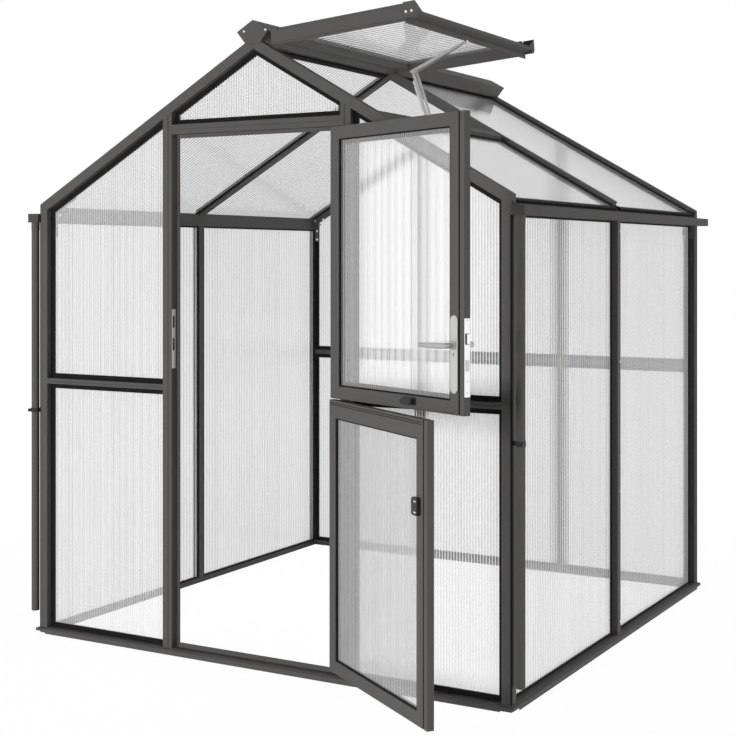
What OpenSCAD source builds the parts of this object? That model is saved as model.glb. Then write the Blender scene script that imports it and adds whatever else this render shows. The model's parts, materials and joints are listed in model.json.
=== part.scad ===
// Polycarbonate greenhouse: an aluminium frame glazed with twin-wall sheet, with a stable door
// in two leaves, a propped roof vent, two gutters and two downpipes.
// X runs along the front gable, Y from front to back, Z up. The origin is under the middle of
// the doorway, on the underside of the front base rail, in the plane of the front glazing.

/* [Building] */
// Width over the corner posts
house_w = 1964; // [1700:2:2400]
// Length over the corner posts
house_l = 1975; // [1700:10:2600]
// Height of the outer corner where post and rafter meet
eave_h = 1635; // [1600:1:1900]
// Slope of the roof in degrees
roof_pitch = 30; // [26:1:35]

/* [Frame profiles] */
// Face width of a corner post and of a rafter in the gables
post_w = 35; // [30:1:50]
// Depth of every wall profile from its outer face inwards
frame_d = 35; // [30:1:50]
// Distance from the outer face of the walls to the middle of the glazing
glazing_set = 28; // [18:1:28]
// Face width of a mid post and of a mid rafter
mid_w = 32; // [25:1:45]
// Face width of the rails and back mullions
rail_w = 21; // [18:1:30]
// Height of the middle of the gable rails above the ground
rail_z = 962.5; // [900:0.5:1050]
// Thickness of the corner gussets
gusset_t = 3; // [2:0.5:4]
// Width of the legs of the gussets
gusset_w = 56; // [45:1:70]
// Length of the gussets down the posts from the eave corner
gusset_drop = 124; // [90:1:160]
// Length of the gussets from the corner towards the ridge
gusset_reach = 150; // [110:1:190]
// Distance from the outer edges of the frame to the gussets
gusset_edge = 3; // [1:0.5:6]
// Width and depth of the groove along the post edges
post_groove = 5; // [3:0.5:8]
// Distance from the front face of a post to that groove
post_groove_set = 3; // [2:0.5:6]
// Length of the post above that groove
post_groove_stop = 20; // [10:1:40]
// Width of the fine grooves in jambs, head and rails
groove_w = 2; // [1:0.5:3]
// Depth of the fine grooves
groove_d = 2.5; // [1:0.5:4]
// Play where two members of one node meet
joint_gap = 0.4; // [0.2:0.1:1]
// Play where sloping faces of different members meet
slope_gap = 0.03; // [0.02:0.01:0.1]
// Height from the underside of the eave beam up to the eave corner
eave_beam_h = 65; // [50:1:90]

/* [Glazing] */
// Thickness of the twin-wall sheets
pane_t = 6; // [4:1:10]
// Face width of the glazing strips round each sheet
seal_w = 18; // [12:1:25]
// Thickness of the strip lip on each side of a sheet
seal_lip = 2; // [1.5:0.5:4]
// Distance from a frame member to the edge of the sheet
pane_gap = 6; // [3:1:10]
// Face width of the glazing strips in the side walls
side_seal_w = 7; // [6:1:25]
// Distance from a frame member to the edge of a sheet in the side walls
side_pane_gap = 3; // [1:1:5]
// Distance from the outer face of the rafters down to the roof sheets
roof_recess = 18; // [10:1:22]
// Length of roof sheet past the eave corner, measured along the slope
roof_overhang = 11; // [5:1:20]

/* [Base] */
// Height of the base rail
base_h = 22; // [18:1:30]
// Height of the drip skirt along the outer edge
skirt_h = 17; // [12:1:18]
// Reach of the drip skirt past the posts
skirt_out = 12; // [8:1:30]
// Thickness of the skirt
skirt_t = 3; // [2:0.5:5]
// Thickness of the corner plates
corner_t = 9; // [6:1:11]

/* [Doorway] */
// Clear width between the door jambs
doorway_w = 708; // [650:2:800]
// Face width of a jamb
jamb_w = 40; // [30:1:50]
// Distance from the doorway to the middle of the groove in a jamb
jamb_groove = 16; // [10:1:22]
// Height of the underside of the door head above the eave corners
head_up = 242; // [230:1:260]
// Height of the door head
head_h = 35; // [30:1:45]
// Distance that the door stops reach into the doorway
stop_w = 13; // [10:1:20]
// Height of the threshold bar above the base rail
sill_stop_h = 16; // [10:1:20]

/* [Door leaves] */
// Gap between a leaf and what it closes against
leaf_gap = 5; // [5:0.5:8]
// Gap between a leaf and the latch jamb
latch_gap = 5; // [5:0.5:8]
// Gap between the upper leaf and the door head
head_gap = 8; // [5:0.5:12]
// Gap between a leaf and the hinge jamb
hinge_gap = 10; // [5.5:0.5:12]
// Thickness of a leaf
leaf_t = 23; // [18:1:23]
// Height of the underside of the lower leaf
leaf_z = 51; // [51:1:65]
// Height of the middle of the gap between the leaves
split_z = 960.5; // [900:0.5:1050]
// Width of the hinge stile
hinge_stile_w = 48; // [40:1:60]
// Width of the free stile
free_stile_w = 66; // [62:1:80]
// Height of the leaf rails
leaf_rail_h = 42; // [35:1:55]
// Height of the top rail of the lower leaf
meeting_rail_h = 58; // [45:1:70]
// Distance that a sheet runs into the stiles and rails
pane_bite = 8; // [5:1:12]
// Distance from the free edge of a leaf to its seal groove
seal_groove_x = 20; // [14:1:26]
// Width of the seal groove
seal_groove_w = 7; // [4:1:9]
// Depth of the seal groove
seal_groove_d = 6; // [3:1:8]
// Opening angle of the upper leaf as it stands
upper_open = 156; // [90:1:165]
// Opening angle of the lower leaf as it stands
lower_open = 145.5; // [90:0.5:165]

/* [Hinges] */
// Radius of a hinge barrel
barrel_r = 5; // [4:0.5:7]
// Distance from the hinge axis to the outer face of the leaf
hinge_out = 8; // [7:0.5:12]
// Distance from the hinge axis to the edge of the leaf
hinge_side = 4; // [3:0.5:5]
// Length of a hinge
hinge_l = 70; // [50:5:100]
// Distance from the end of a leaf to the middle of its hinge
hinge_inset = 130; // [100:5:200]
// Thickness of a hinge plate
hinge_t = 3; // [2:0.5:4]
// Width of a hinge plate on a leaf
hinge_leaf_w = 31; // [20:1:40]
// Width of a hinge plate on the jamb
hinge_jamb_w = 24; // [18:1:32]
// Radius of a hinge pin
pin_r = 2.5; // [2:0.25:3]
// Running clearance of the pins
pin_play = 0.3; // [0.2:0.1:0.5]
// Distance from the edges of the leaf and of the doorway to the hinge plates
hinge_edge = 2; // [1:0.5:4]
// Width of the knuckle arms on the leaf
knuckle_w = 8; // [6:0.5:12]

/* [Lock] */
// Height of the handle spindle
spindle_z = 1171; // [1150:1:1230]
// Height of the lock plates
lock_h = 234; // [200:2:260]
// Width of the lock plates
lock_w = 34; // [26:1:36]
// Thickness of the lock plates
lock_t = 6; // [3:0.5:8]
// Distance from the free edge of the leaf to the middle of the lock plates
lock_backset = 44; // [42:1:46]
// Distance from the spindle down to the middle of the lock plates
lock_drop = 27; // [20:1:35]
// Distance from the spindle down to the middle of the faceplate
face_drop = 32; // [25:1:40]
// Radius of the spindle
spindle_r = 4; // [3:0.5:5]
// Clearance round the spindle
spindle_play = 2; // [0.5:0.5:3]
// Distance from a lock plate to the middle of its lever
lever_out = 40; // [30:1:55]
// Radius of the collar at the foot of a lever
collar_r = 9; // [7:0.5:12]
// Length of that collar
collar_l = 8; // [4:0.5:12]
// Length of a lever
lever_l = 112; // [90:1:130]
// Radius of a lever
lever_r = 6.5; // [5:0.5:9]
// Thickness of the faceplate and of the strike plate
plate_t = 2; // [1.5:0.5:3]
// Length of the strike plate
strike_h = 213; // [180:1:230]
// Width of the strike plate
strike_w = 22; // [18:1:24]
// Distance from the front face of the jamb to the strike plate
strike_set = 2; // [1:0.5:4]
// Distance from the spindle up to the middle of the upper slot
latch_slot_up = 29; // [20:1:40]
// Distance from the spindle down to the middle of the lower slot
bolt_slot_down = 52; // [40:1:70]
// Height of the slots in the strike plate
strike_slot_h = 44; // [30:1:50]
// Width of the slots in the strike plate
strike_slot_w = 12; // [8:1:14]

/* [Latch and catch] */
// Distance from the hinge edge of the upper leaf to the middle of the latch
latch_x = 430; // [300:5:500]
// Width of the latch plate
latch_w = 80; // [60:1:100]
// Height of the latch plate
latch_h = 25; // [18:1:30]
// Distance from the underside of the upper leaf to the latch plate
latch_z = 13; // [5:1:16]
// Thickness of the latch plate
latch_t = 5; // [3:1:8]
// Width of the latch knob
knob_w = 24; // [15:1:35]
// Height of the latch knob
knob_h = 15; // [10:1:18]
// Reach of the latch knob past its plate
knob_out = 13; // [8:1:20]
// Height of the underside of the catch above the ground
catch_z = 676; // [500:1:800]
// Height of the catch
catch_h = 54; // [40:1:70]
// Width of the catch
catch_w = 38; // [25:1:44]
// Thickness of the catch
catch_t = 12; // [6:1:16]
// Distance from the free edge of the lower leaf to the catch
catch_x = 40; // [30:1:48]

/* [Ridge and vent] */
// Half width of the ridge cap over its wings
cap_half = 66; // [50:1:80]
// Half width of the flat underside of the ridge
ridge_half = 30; // [25:1:40]
// Distance from the rafter apex down to the underside of the ridge
ridge_drop = 23; // [18:1:26]
// Height of the cap apex above the rafter apex
cap_rise = 59; // [50:1:70]
// Height of the wing edges above the rafter apex
wing_rise = 21; // [15:1:30]
// Thickness of the ridge end plates
end_t = 3; // [2:0.5:5]
// Distance along the slope from the rafter apex to the vent transom
vent_p = 549; // [450:1:640]
// Width of the vent transom along the slope
transom_w = 42; // [30:1:50]
// Distance from the outer face of the rafters down to the transom
transom_set = 2; // [1:0.5:6]
// Distance along the slope from the lower end of a mid rafter to the eave corner
rafter_stop = 14; // [4:1:24]

/* [Roof vent] */
// Angle of the vent above level
vent_tilt = 4.8; // [0:0.1:15]
// Length of the side rails of the vent from the hinge
vent_l = 568; // [540:1:620]
// Distance from the hinge axis down to the top of the side rails
vent_drop = 8; // [4:1:12]
// Height of the side rails
vent_h = 42; // [35:1:46]
// Width of the side rails
vent_rail_w = 22; // [15:1:30]
// Distance from the face of the side rails back to their lips
vent_lip_in = 5; // [3:0.5:8]
// Height of the upper lips of the side rails
vent_lip_up = 9; // [5:1:12]
// Height of the lower lips of the side rails
vent_lip_low = 5; // [3:0.5:7]
// Distance from the free end of the vent to the end of those lips
vent_lip_stop = 43; // [43:1:60]
// Reach of the vent past the front face of the house
vent_front = 2; // [0:1:10]
// Lap of the vent on the mid rafter
vent_lap = 7; // [2:1:20]
// Width of the hinge rail
vent_hinge_w = 30; // [20:1:45]
// Thickness of the hinge rail
vent_hinge_t = 36; // [25:1:45]
// Radius of the hinge barrel
vent_barrel_r = 6; // [5:0.5:8]
// Distance from the top of the vent down to its sheet
vent_pane_set = 12; // [12:0.5:20]
// Width of the free rail from its outer face to its lip
free_w = 40; // [30:1:50]
// Cover of the free rail over the sheet
free_cover = 16; // [12:1:30]
// Distance from the hinge axis down to the top of the free rail
free_top = 10; // [8:0.5:10]
// Distance from the hinge axis down to the outer face of the free rail
free_edge_drop = 27; // [20:1:30]
// Height of that outer face
free_edge_h = 13; // [8:1:18]
// Distance from the hinge axis down to the root of the lip
free_under = 48; // [44:1:54]
// Reach of the lip under its root
lip_drop = 18; // [10:1:26]
// Thickness of the lip
lip_t = 2.5; // [2:0.5:4]
// Thickness of the free rail under the sheet
free_t = 4; // [2:0.5:6]
// Width of the legs of the brackets at the free corners of the vent
bracket_w = 43; // [30:1:43]
// Reach of those brackets over the face of the free rail
bracket_reach = 49; // [35:1:60]
// Height of the brackets above the hinge axis
bracket_up = 3; // [1:0.5:5]
// Thickness of the brackets
bracket_t = 2; // [1.5:0.5:3]
// Play between the vent's hinge barrel and the ridge
vent_play = 0.2; // [0.1:0.1:0.5]

/* [Vent opener] */
// Distance from the front face of the house to the middle of the opener
opener_y = 443; // [380:1:520]
// Distance along the slope from the transom up to the foot of the opener
foot_up = 24; // [5:1:40]
// Thickness of the foot plate
foot_t = 4; // [2:0.5:6]
// Horizontal distance from the foot back to the elbow
elbow_back = 56; // [40:1:80]
// Height of the elbow above the foot
elbow_up = 160; // [140:1:180]
// Half of the distance between the arms
arm_half = 14; // [10:1:18]
// Radius of an arm
arm_r = 4; // [3:0.5:5]
// Radius of the barrels at the ends of the arms
end_r = 7; // [5.5:0.5:9]
// Length of those barrels
end_l = 40; // [36:1:50]
// Radius of the opener's cylinder
tube_r = 8; // [6:0.5:10]
// Distance from the arms back to the cylinder
tube_back = 23; // [20:1:30]

/* [Gutters] */
// Width of a gutter
gutter_w = 49; // [40:1:70]
// Height of a gutter
gutter_h = 31; // [25:1:34]
// Thickness of the gutter walls
gutter_t = 2; // [1.5:0.5:3]
// Distance from the eave corner down to the rim of the gutter
gutter_drop = 36; // [34:1:40]
// Length of the outlet box
outlet_l = 40; // [30:1:50]
// Reach of the outlet box past the gutter's section
outlet_rim = 1; // [0.5:0.5:3]
// Radius of a downpipe
pipe_r = 13; // [10:0.5:18]
// Distance from the post to the middle of the downpipe
pipe_off = 29; // [20:1:32]
// Height of the foot of the downpipe
pipe_foot = 80; // [60:5:200]
// Height of the underside of the pipe clips above the ground
clip_z = 836; // [600:2:1200]
// Height of a pipe clip
clip_h = 18; // [12:1:25]
// Thickness of a pipe clip
clip_t = 3; // [2:0.5:4]
// Width of the arm of a pipe clip
clip_arm_w = 10; // [6:1:16]
// Distance from the front face of the walls to the front end of the gutter troughs
gutter_set = 27; // [20:1:40]

/* [Hidden] */
$fn = 48;

// Colours
anthracite = [0.33, 0.33, 0.32];
shade = [0.16, 0.16, 0.16];
sheet = [0.88, 0.88, 0.87, 0.7];
steel = [0.75, 0.75, 0.74];

// Walls
hw = house_w / 2;
y_front = -glazing_set;
y_back = y_front + house_l;
glaze_back = y_back - glazing_set;
y_in = y_front + frame_d;
y_in_back = y_back - frame_d;
side_in = y_in + gusset_t;
side_in_back = y_in_back - gusset_t;
x_in = hw - post_w;
x_side = hw - frame_d;
y_mid = (y_front + y_back) / 2;
rail_lo = rail_z - rail_w / 2;
rail_hi = rail_z + rail_w / 2;

// Roof
slope_l = hw / cos(roof_pitch);
apex_z = eave_h + hw * tan(roof_pitch);
pane_n = roof_recess + pane_t / 2;
seal_n = roof_recess + pane_t + seal_lip;
ridge_clear = (ridge_drop - (roof_recess - seal_lip) * cos(roof_pitch)) / sin(roof_pitch);
roof_top = max(seal_n * tan(roof_pitch), ridge_clear) + joint_gap;
roof_end = slope_l + roof_overhang;
eave_bottom = eave_h - eave_beam_h;
function roof_z(x) = eave_h + (hw - abs(x)) * tan(roof_pitch);
function under_z(x) = roof_z(x) - post_w / cos(roof_pitch);
function opening_z(x) = under_z(x) - slope_gap;

// Glazing
seal_t = pane_t + 2 * seal_lip;

// Doorway
door_x = doorway_w / 2;
jamb_x = door_x + jamb_w;
mullion_x = door_x;
head_z = eave_h + head_up;
head_top = head_z + head_h;

// Leaves, in their closed place
leaf_x0 = -door_x + latch_gap;
leaf_x1 = door_x - hinge_gap;
leaf_y0 = y_front;
leaf_y1 = y_front + leaf_t;
leaf_top = head_z - head_gap;
upper_z = split_z + leaf_gap / 2;
lower_top = split_z - leaf_gap / 2;
hinge_x = leaf_x1 + hinge_side;
hinge_y = leaf_y0 - hinge_out;
lock_x = leaf_x0 + lock_backset;
stop_y = leaf_y1 + leaf_gap;

// Returns the outline moved inwards by d, for a convex outline listed anticlockwise
function unit_normal(a, b) = let (e = b - a, l = norm(e)) [-e.y / l, e.x / l];
function inset(pts, d) = [
    for (i = [0 : len(pts) - 1])
        let (
            before = pts[(i + len(pts) - 1) % len(pts)],
            here = pts[i],
            after = pts[(i + 1) % len(pts)],
            n1 = unit_normal(before, here),
            n2 = unit_normal(here, after)
        )
        here + d * (n1 + n2) / (1 + n1 * n2)
];
function rect(x0, y0, x1, y1) = [[x0, y0], [x1, y0], [x1, y1], [x0, y1]];
function mirrored(pts) = [for (i = [len(pts) - 1 : -1 : 0]) [-pts[i].x, pts[i].y]];

// Places a drawing in the plane of a gable: x stays, y becomes the height
module gable_slab(y0, y1) {
    translate([0, y1, 0]) rotate([90, 0, 0]) linear_extrude(y1 - y0) children();
}

// Places a drawing in the plane of a side wall: x becomes the length, y the height
module side_slab(x0, x1) {
    translate([x0, 0, 0]) rotate([90, 0, 90]) linear_extrude(x1 - x0) children();
}

// Places a body drawn on the right slope: x runs down the slope, z is the outward normal
module on_slope() {
    translate([0, 0, apex_z]) rotate([0, roof_pitch, 0]) children();
}

module slope_slab(n0, n1) {
    translate([0, 0, n0]) linear_extrude(n1 - n0) children();
}

module both_sides() {
    children();
    mirror([1, 0, 0]) children();
}

module box(x0, x1, y0, y1, z0, z1) {
    translate([x0, y0, z0]) cube([x1 - x0, y1 - y0, z1 - z0]);
}

// Openings between the frame members
function front_side_low() = rect(jamb_x, base_h, x_in, rail_lo);
function front_side_high() = [
    [jamb_x, rail_hi], [x_in, rail_hi], [x_in, opening_z(x_in)], [jamb_x, opening_z(jamb_x)]
];
function front_peak() = [
    [-door_x, head_top], [door_x, head_top], [door_x, opening_z(door_x)],
    [0, opening_z(0)], [-door_x, opening_z(door_x)]
];
mullion_in = mullion_x - rail_w / 2;
mullion_out = mullion_x + rail_w / 2;
function back_side_low() = rect(mullion_out, base_h, x_in, rail_lo);
function back_side_high() = [
    [mullion_out, rail_hi], [x_in, rail_hi],
    [x_in, opening_z(x_in)], [mullion_out, opening_z(mullion_out)]
];
function back_middle_low() = rect(-mullion_in, base_h, mullion_in, rail_lo);
function back_peak() = [
    [-mullion_in, rail_hi], [mullion_in, rail_hi], [mullion_in, opening_z(mullion_in)],
    [0, opening_z(0)], [-mullion_in, opening_z(mullion_in)]
];
front_openings = [
    front_side_low(), front_side_high(), front_peak(),
    mirrored(front_side_low()), mirrored(front_side_high())
];
back_openings = [
    back_side_low(), back_side_high(), back_middle_low(), back_peak(),
    mirrored(back_side_low()), mirrored(back_side_high())
];
side_openings = [
    rect(side_in, base_h, y_mid - mid_w / 2, eave_bottom),
    rect(y_mid + mid_w / 2, base_h, side_in_back, eave_bottom)
];
front_bay = rect(roof_top, y_in, roof_end, y_mid - mid_w / 2);
back_bay = rect(roof_top, y_mid + mid_w / 2, roof_end, y_in_back);
vent_bay = rect(vent_p + transom_w, y_in, roof_end, y_mid - mid_w / 2);

module sheet_outline(opening, gap = pane_gap) {
    polygon(inset(opening, gap));
}

module strip_outline(opening, width = seal_w) {
    difference() {
        polygon(opening);
        polygon(inset(opening, width));
    }
}

module gable_sheets(openings, y) {
    for (opening = openings)
        gable_slab(y - pane_t / 2, y + pane_t / 2) sheet_outline(opening);
}

module gable_strips(openings, y) {
    for (opening = openings)
        difference() {
            gable_slab(y - seal_t / 2, y + seal_t / 2) strip_outline(opening);
            gable_slab(y - pane_t / 2, y + pane_t / 2) sheet_outline(opening);
        }
}

// Base rail section: a core with a ledge that slopes down to a drip skirt; x points out of
// the wall
module base_section() {
    skirt_in = skirt_out - skirt_t;
    polygon([
        [-frame_d, 0], [0, 0], [0, base_h - skirt_t], [skirt_in, skirt_h - skirt_t],
        [skirt_in, 0], [skirt_out, 0], [skirt_out, skirt_h], [0, base_h], [-frame_d, base_h]
    ]);
}

module front_base() {
    color(anthracite)
        translate([x_in, y_front, 0]) rotate([90, 0, -90])
            linear_extrude(2 * x_in) base_section();
}

module back_base() {
    color(anthracite)
        translate([-x_in, y_back, 0]) rotate([90, 0, 90])
            linear_extrude(2 * x_in) base_section();
}

module side_bases() {
    color(anthracite)
        both_sides()
            translate([hw, side_in_back, 0]) rotate([90, 0, 0])
                linear_extrude(side_in_back - side_in) base_section();
}

// A corner piece: a plate as far out as the skirts, hipped up to the post, on a foot
module base_corner() {
    plate_z = skirt_h - corner_t;
    x_out = hw + skirt_out;
    y_out = y_front - skirt_out;
    intersection() {
        gable_slab(y_out - 1, side_in)
            polygon([[x_in, plate_z], [x_out, plate_z], [x_out, skirt_h],
                     [hw, base_h], [x_in, base_h]]);
        side_slab(x_in, x_out + 1)
            polygon([[y_out, plate_z], [side_in, plate_z], [side_in, base_h],
                     [y_front, base_h], [y_out, skirt_h]]);
    }
    box(x_in, hw, y_front, side_in, 0, plate_z + joint_gap);
}

module base_corners() {
    color(anthracite)
        both_sides() {
            base_corner();
            translate([0, y_front + y_back, 0]) mirror([0, 1, 0]) base_corner();
        }
}

// One corner post with a mitred head, at the right of the front gable
module corner_post() {
    difference() {
        union() {
            gable_slab(y_front, y_in)
                polygon([[x_in, base_h], [hw, base_h], [hw, eave_h], [x_in, under_z(x_in)]]);
            box(x_in, hw, y_in, side_in, base_h, gusset_foot);
        }
        box(hw - post_groove, hw + 1, y_front + post_groove_set,
            y_front + post_groove_set + post_groove, base_h - 1, eave_h - post_groove_stop);
    }
}

module front_posts() {
    color(anthracite) both_sides() corner_post();
}

module back_posts() {
    color(anthracite)
        both_sides() translate([0, y_front + y_back, 0]) mirror([0, 1, 0]) corner_post();
}

module mid_posts() {
    color(anthracite)
        both_sides()
            box(x_side, hw, y_mid - mid_w / 2, y_mid + mid_w / 2, base_h, eave_bottom);
}

// Jambs run from the base to the rafters, with a groove down the face and a recess for the
// strike plate in the latch jamb
module door_jambs() {
    color(anthracite)
        difference() {
            both_sides()
                difference() {
                    gable_slab(y_front, y_in)
                        polygon([[door_x, base_h], [jamb_x, base_h],
                                 [jamb_x, opening_z(jamb_x)], [door_x, opening_z(door_x)]]);
                    box(door_x + jamb_groove - groove_w / 2, door_x + jamb_groove + groove_w / 2,
                        y_front - 1, y_front + groove_d, base_h - 1, apex_z);
                }
            strike_blank();
        }
}

module door_head() {
    color(anthracite)
        difference() {
            box(-door_x, door_x, y_front, y_in, head_z, head_top);
            box(-door_x - 1, door_x + 1, y_front - 1, y_front + groove_d,
                head_z + (head_h - groove_w) / 2, head_z + (head_h + groove_w) / 2);
        }
}

// Stops behind the leaves: one down each jamb, one under the head and the threshold bar
module door_stops() {
    between = door_x - stop_w - joint_gap;
    color(anthracite)
        gable_slab(stop_y, y_in) {
            polygon(rect(door_x - stop_w, base_h, door_x, head_z));
            polygon(rect(-door_x, base_h, -door_x + stop_w, head_z));
            polygon(rect(-between, head_z - stop_w, between, head_z));
            polygon(rect(-between, base_h, between, base_h + sill_stop_h));
        }
}

module rail(x0, x1, y0) {
    difference() {
        box(x0, x1, y0, y0 + frame_d, rail_lo, rail_hi);
        box(x0 - 1, x1 + 1, y0 - 1, y0 + groove_d, rail_z - groove_w / 2, rail_z + groove_w / 2);
    }
}

module front_rails() {
    color(anthracite) both_sides() rail(jamb_x, x_in, y_front);
}

module back_mullions() {
    color(anthracite)
        both_sides()
            gable_slab(y_in_back, y_back)
                polygon([[mullion_in, base_h], [mullion_out, base_h],
                         [mullion_out, opening_z(mullion_out)],
                         [mullion_in, opening_z(mullion_in)]]);
}

module back_rails() {
    color(anthracite) {
        box(-mullion_in, mullion_in, y_in_back, y_back, rail_lo, rail_hi);
        both_sides() box(mullion_out, x_in, y_in_back, y_back, rail_lo, rail_hi);
    }
}

// Beam under the roof edge, with its top cut to the slope
module eave_beams() {
    beam_n = seal_n + slope_gap;
    beam_top = roof_z(hw) - beam_n / cos(roof_pitch);
    beam_top_in = roof_z(x_side) - beam_n / cos(roof_pitch);
    color(anthracite)
        both_sides()
            translate([0, side_in_back, 0]) rotate([90, 0, 0])
                linear_extrude(side_in_back - side_in)
                    polygon([[x_side, eave_bottom], [hw, eave_bottom],
                             [hw, beam_top], [x_side, beam_top_in]]);
}

// Outline of the ridge cap, seen from the front
function ridge_outline() = [
    [-ridge_half, apex_z - ridge_drop], [ridge_half, apex_z - ridge_drop],
    [cap_half, apex_z + wing_rise], [0, apex_z + cap_rise], [-cap_half, apex_z + wing_rise]
];

module gable_rafters(y0, y1) {
    both_sides()
        difference() {
            gable_slab(y0, y1)
                polygon([[hw, eave_h], [joint_gap / 2, roof_z(joint_gap / 2)],
                         [joint_gap / 2, under_z(joint_gap / 2)], [x_in, under_z(x_in)]]);
            gable_slab(y0 - 1, y1 + 1) polygon(ridge_outline());
        }
}

module front_rafters() {
    color(anthracite) gable_rafters(y_front, y_in);
}

module back_rafters() {
    color(anthracite) gable_rafters(y_in_back, y_back);
}

// A mid rafter rests on the eave beam with its upper part and stops behind it with the rest
module mid_rafters() {
    color(anthracite)
        both_sides()
            difference() {
                on_slope() {
                    box(0, slope_l - rafter_stop, y_mid - mid_w / 2, y_mid + mid_w / 2,
                        -seal_n, 0);
                    box(0, slope_l, y_mid - mid_w / 2, y_mid + mid_w / 2, -post_w, -seal_n);
                }
                box(x_side, hw + 2 * post_w, y_mid - mid_w, y_mid + mid_w, 0,
                    eave_h - seal_n / cos(roof_pitch));
                box(-post_w, joint_gap / 2, y_mid - mid_w, y_mid + mid_w, 0, 2 * apex_z);
                gable_slab(y_mid - mid_w, y_mid + mid_w) polygon(ridge_outline());
                gable_slab(y_mid - mid_w, y_mid + mid_w)
                    polygon([
                        [x_side, eave_bottom], [hw + 1, eave_bottom],
                        [hw + 1, roof_z(hw) - seal_n / cos(roof_pitch)],
                        [x_side, roof_z(x_side) - seal_n / cos(roof_pitch)]
                    ]);
            }
}

module ridge_beam() {
    color(anthracite) gable_slab(y_front, y_back) polygon(ridge_outline());
}

module ridge_end_plates() {
    color(anthracite) {
        gable_slab(y_front - end_t, y_front) polygon(ridge_outline());
        gable_slab(y_back, y_back + end_t) polygon(ridge_outline());
    }
}

module vent_transom() {
    color(anthracite)
        on_slope()
            box(vent_p, vent_p + transom_w, y_in, y_mid - mid_w / 2, -post_w, -transom_set);
}

module front_panes() {
    color(sheet) gable_sheets(front_openings, 0);
}

module back_panes() {
    color(sheet) gable_sheets(back_openings, glaze_back);
}

module side_panes() {
    color(sheet)
        both_sides()
            for (opening = side_openings)
                side_slab(hw - glazing_set - pane_t / 2, hw - glazing_set + pane_t / 2)
                    sheet_outline(opening, side_pane_gap);
}

module slope_sheets(openings) {
    for (opening = openings)
        slope_slab(-roof_recess - pane_t, -roof_recess) sheet_outline(opening);
}

module roof_panes() {
    color(sheet) {
        on_slope() slope_sheets([vent_bay, back_bay]);
        mirror([1, 0, 0]) on_slope() slope_sheets([front_bay, back_bay]);
    }
}

module gable_seals() {
    color(shade) {
        gable_strips(front_openings, 0);
        gable_strips(back_openings, glaze_back);
    }
}

module side_seals() {
    middle = hw - glazing_set;
    color(shade)
        both_sides()
            for (opening = side_openings)
                difference() {
                    side_slab(middle - seal_t / 2, middle + seal_t / 2)
                        strip_outline(opening, side_seal_w);
                    side_slab(middle - pane_t / 2, middle + pane_t / 2)
                        sheet_outline(opening, side_pane_gap);
                }
}

module slope_strips(openings) {
    for (opening = openings)
        difference() {
            slope_slab(-seal_n, -roof_recess + seal_lip) strip_outline(opening);
            slope_slab(-roof_recess - pane_t, -roof_recess) sheet_outline(opening);
        }
}

module roof_seals() {
    color(shade) {
        on_slope() slope_strips([vent_bay, back_bay]);
        mirror([1, 0, 0]) on_slope() slope_strips([front_bay, back_bay]);
    }
}

// Gussets join the posts to the rafters on the inner side of the gables
gusset_foot = eave_h - gusset_drop;
gusset_in = seal_n + 1;
function slope_point(x, n) = [x, roof_z(x) - n / cos(roof_pitch)];
function gusset_outline() = [
    [hw - gusset_edge, gusset_foot], slope_point(hw - gusset_edge, gusset_in),
    slope_point(hw - gusset_reach + (gusset_w - gusset_in) * sin(roof_pitch), gusset_in),
    slope_point(hw - gusset_reach, gusset_w),
    slope_point(hw - gusset_w, gusset_w), [hw - gusset_w, gusset_foot]
];

module gussets() {
    color(anthracite)
        both_sides() {
            gable_slab(y_in, side_in) polygon(gusset_outline());
            gable_slab(side_in_back, y_in_back) polygon(gusset_outline());
        }
}

// Gutters are open troughs against the eave beams, with an outlet box at the front end
gutter_top = eave_h - gutter_drop;
gutter_y = y_front + gutter_set;
pipe_y = gutter_y - outlet_l / 2;
outlet_y = gutter_y - outlet_l;

module gutters() {
    color(anthracite)
        both_sides() {
            difference() {
                box(hw, hw + gutter_w, gutter_y, y_back, gutter_top - gutter_h, gutter_top);
                box(hw + gutter_t, hw + gutter_w - gutter_t, gutter_y - 1, y_back - gutter_t,
                    gutter_top - gutter_h + gutter_t, gutter_top + 1);
            }
            box(hw, hw + gutter_w + outlet_rim, outlet_y, gutter_y,
                gutter_top - gutter_h - outlet_rim, gutter_top + outlet_rim);
        }
}

module downpipes() {
    color(anthracite)
        both_sides()
            translate([hw + pipe_off, pipe_y, pipe_foot])
                cylinder(r = pipe_r, h = gutter_top - gutter_h - outlet_rim - pipe_foot);
}

module pipe_clips() {
    ring_r = pipe_r + joint_gap / 4;
    color(shade)
        both_sides()
            difference() {
                union() {
                    translate([hw + pipe_off, pipe_y, clip_z])
                        cylinder(r = pipe_r + clip_t, h = clip_h);
                    box(hw, hw + pipe_off, pipe_y - clip_arm_w / 2, pipe_y + clip_arm_w / 2,
                        clip_z, clip_z + clip_h);
                }
                translate([hw + pipe_off, pipe_y, clip_z - 1])
                    cylinder(r = ring_r, h = clip_h + 2);
            }
}

// The vent stands open on its hinge along the wing of the ridge cap. Its own x runs from the
// hinge to the free edge, and z is the normal of its top
vent_x = cap_half + vent_barrel_r + vent_play;
vent_z = apex_z + wing_rise;
vent_y0 = y_front - vent_front;
vent_y1 = y_mid - mid_w / 2 + vent_lap;
free_in = vent_l - free_w;
vent_low = vent_drop + vent_h;

module at_vent() {
    translate([vent_x, 0, vent_z]) rotate([0, -vent_tilt, 0]) children();
}

function from_vent(p) = [
    vent_x + p.x * cos(vent_tilt) - p.y * sin(vent_tilt),
    vent_z + p.x * sin(vent_tilt) + p.y * cos(vent_tilt)
];

module vent_sheet() {
    box(vent_hinge_w - pane_bite, free_in - free_cover + pane_bite,
        vent_y0 + vent_rail_w - pane_bite, vent_y1 - vent_rail_w + pane_bite,
        -vent_pane_set - pane_t, -vent_pane_set);
}

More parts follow.
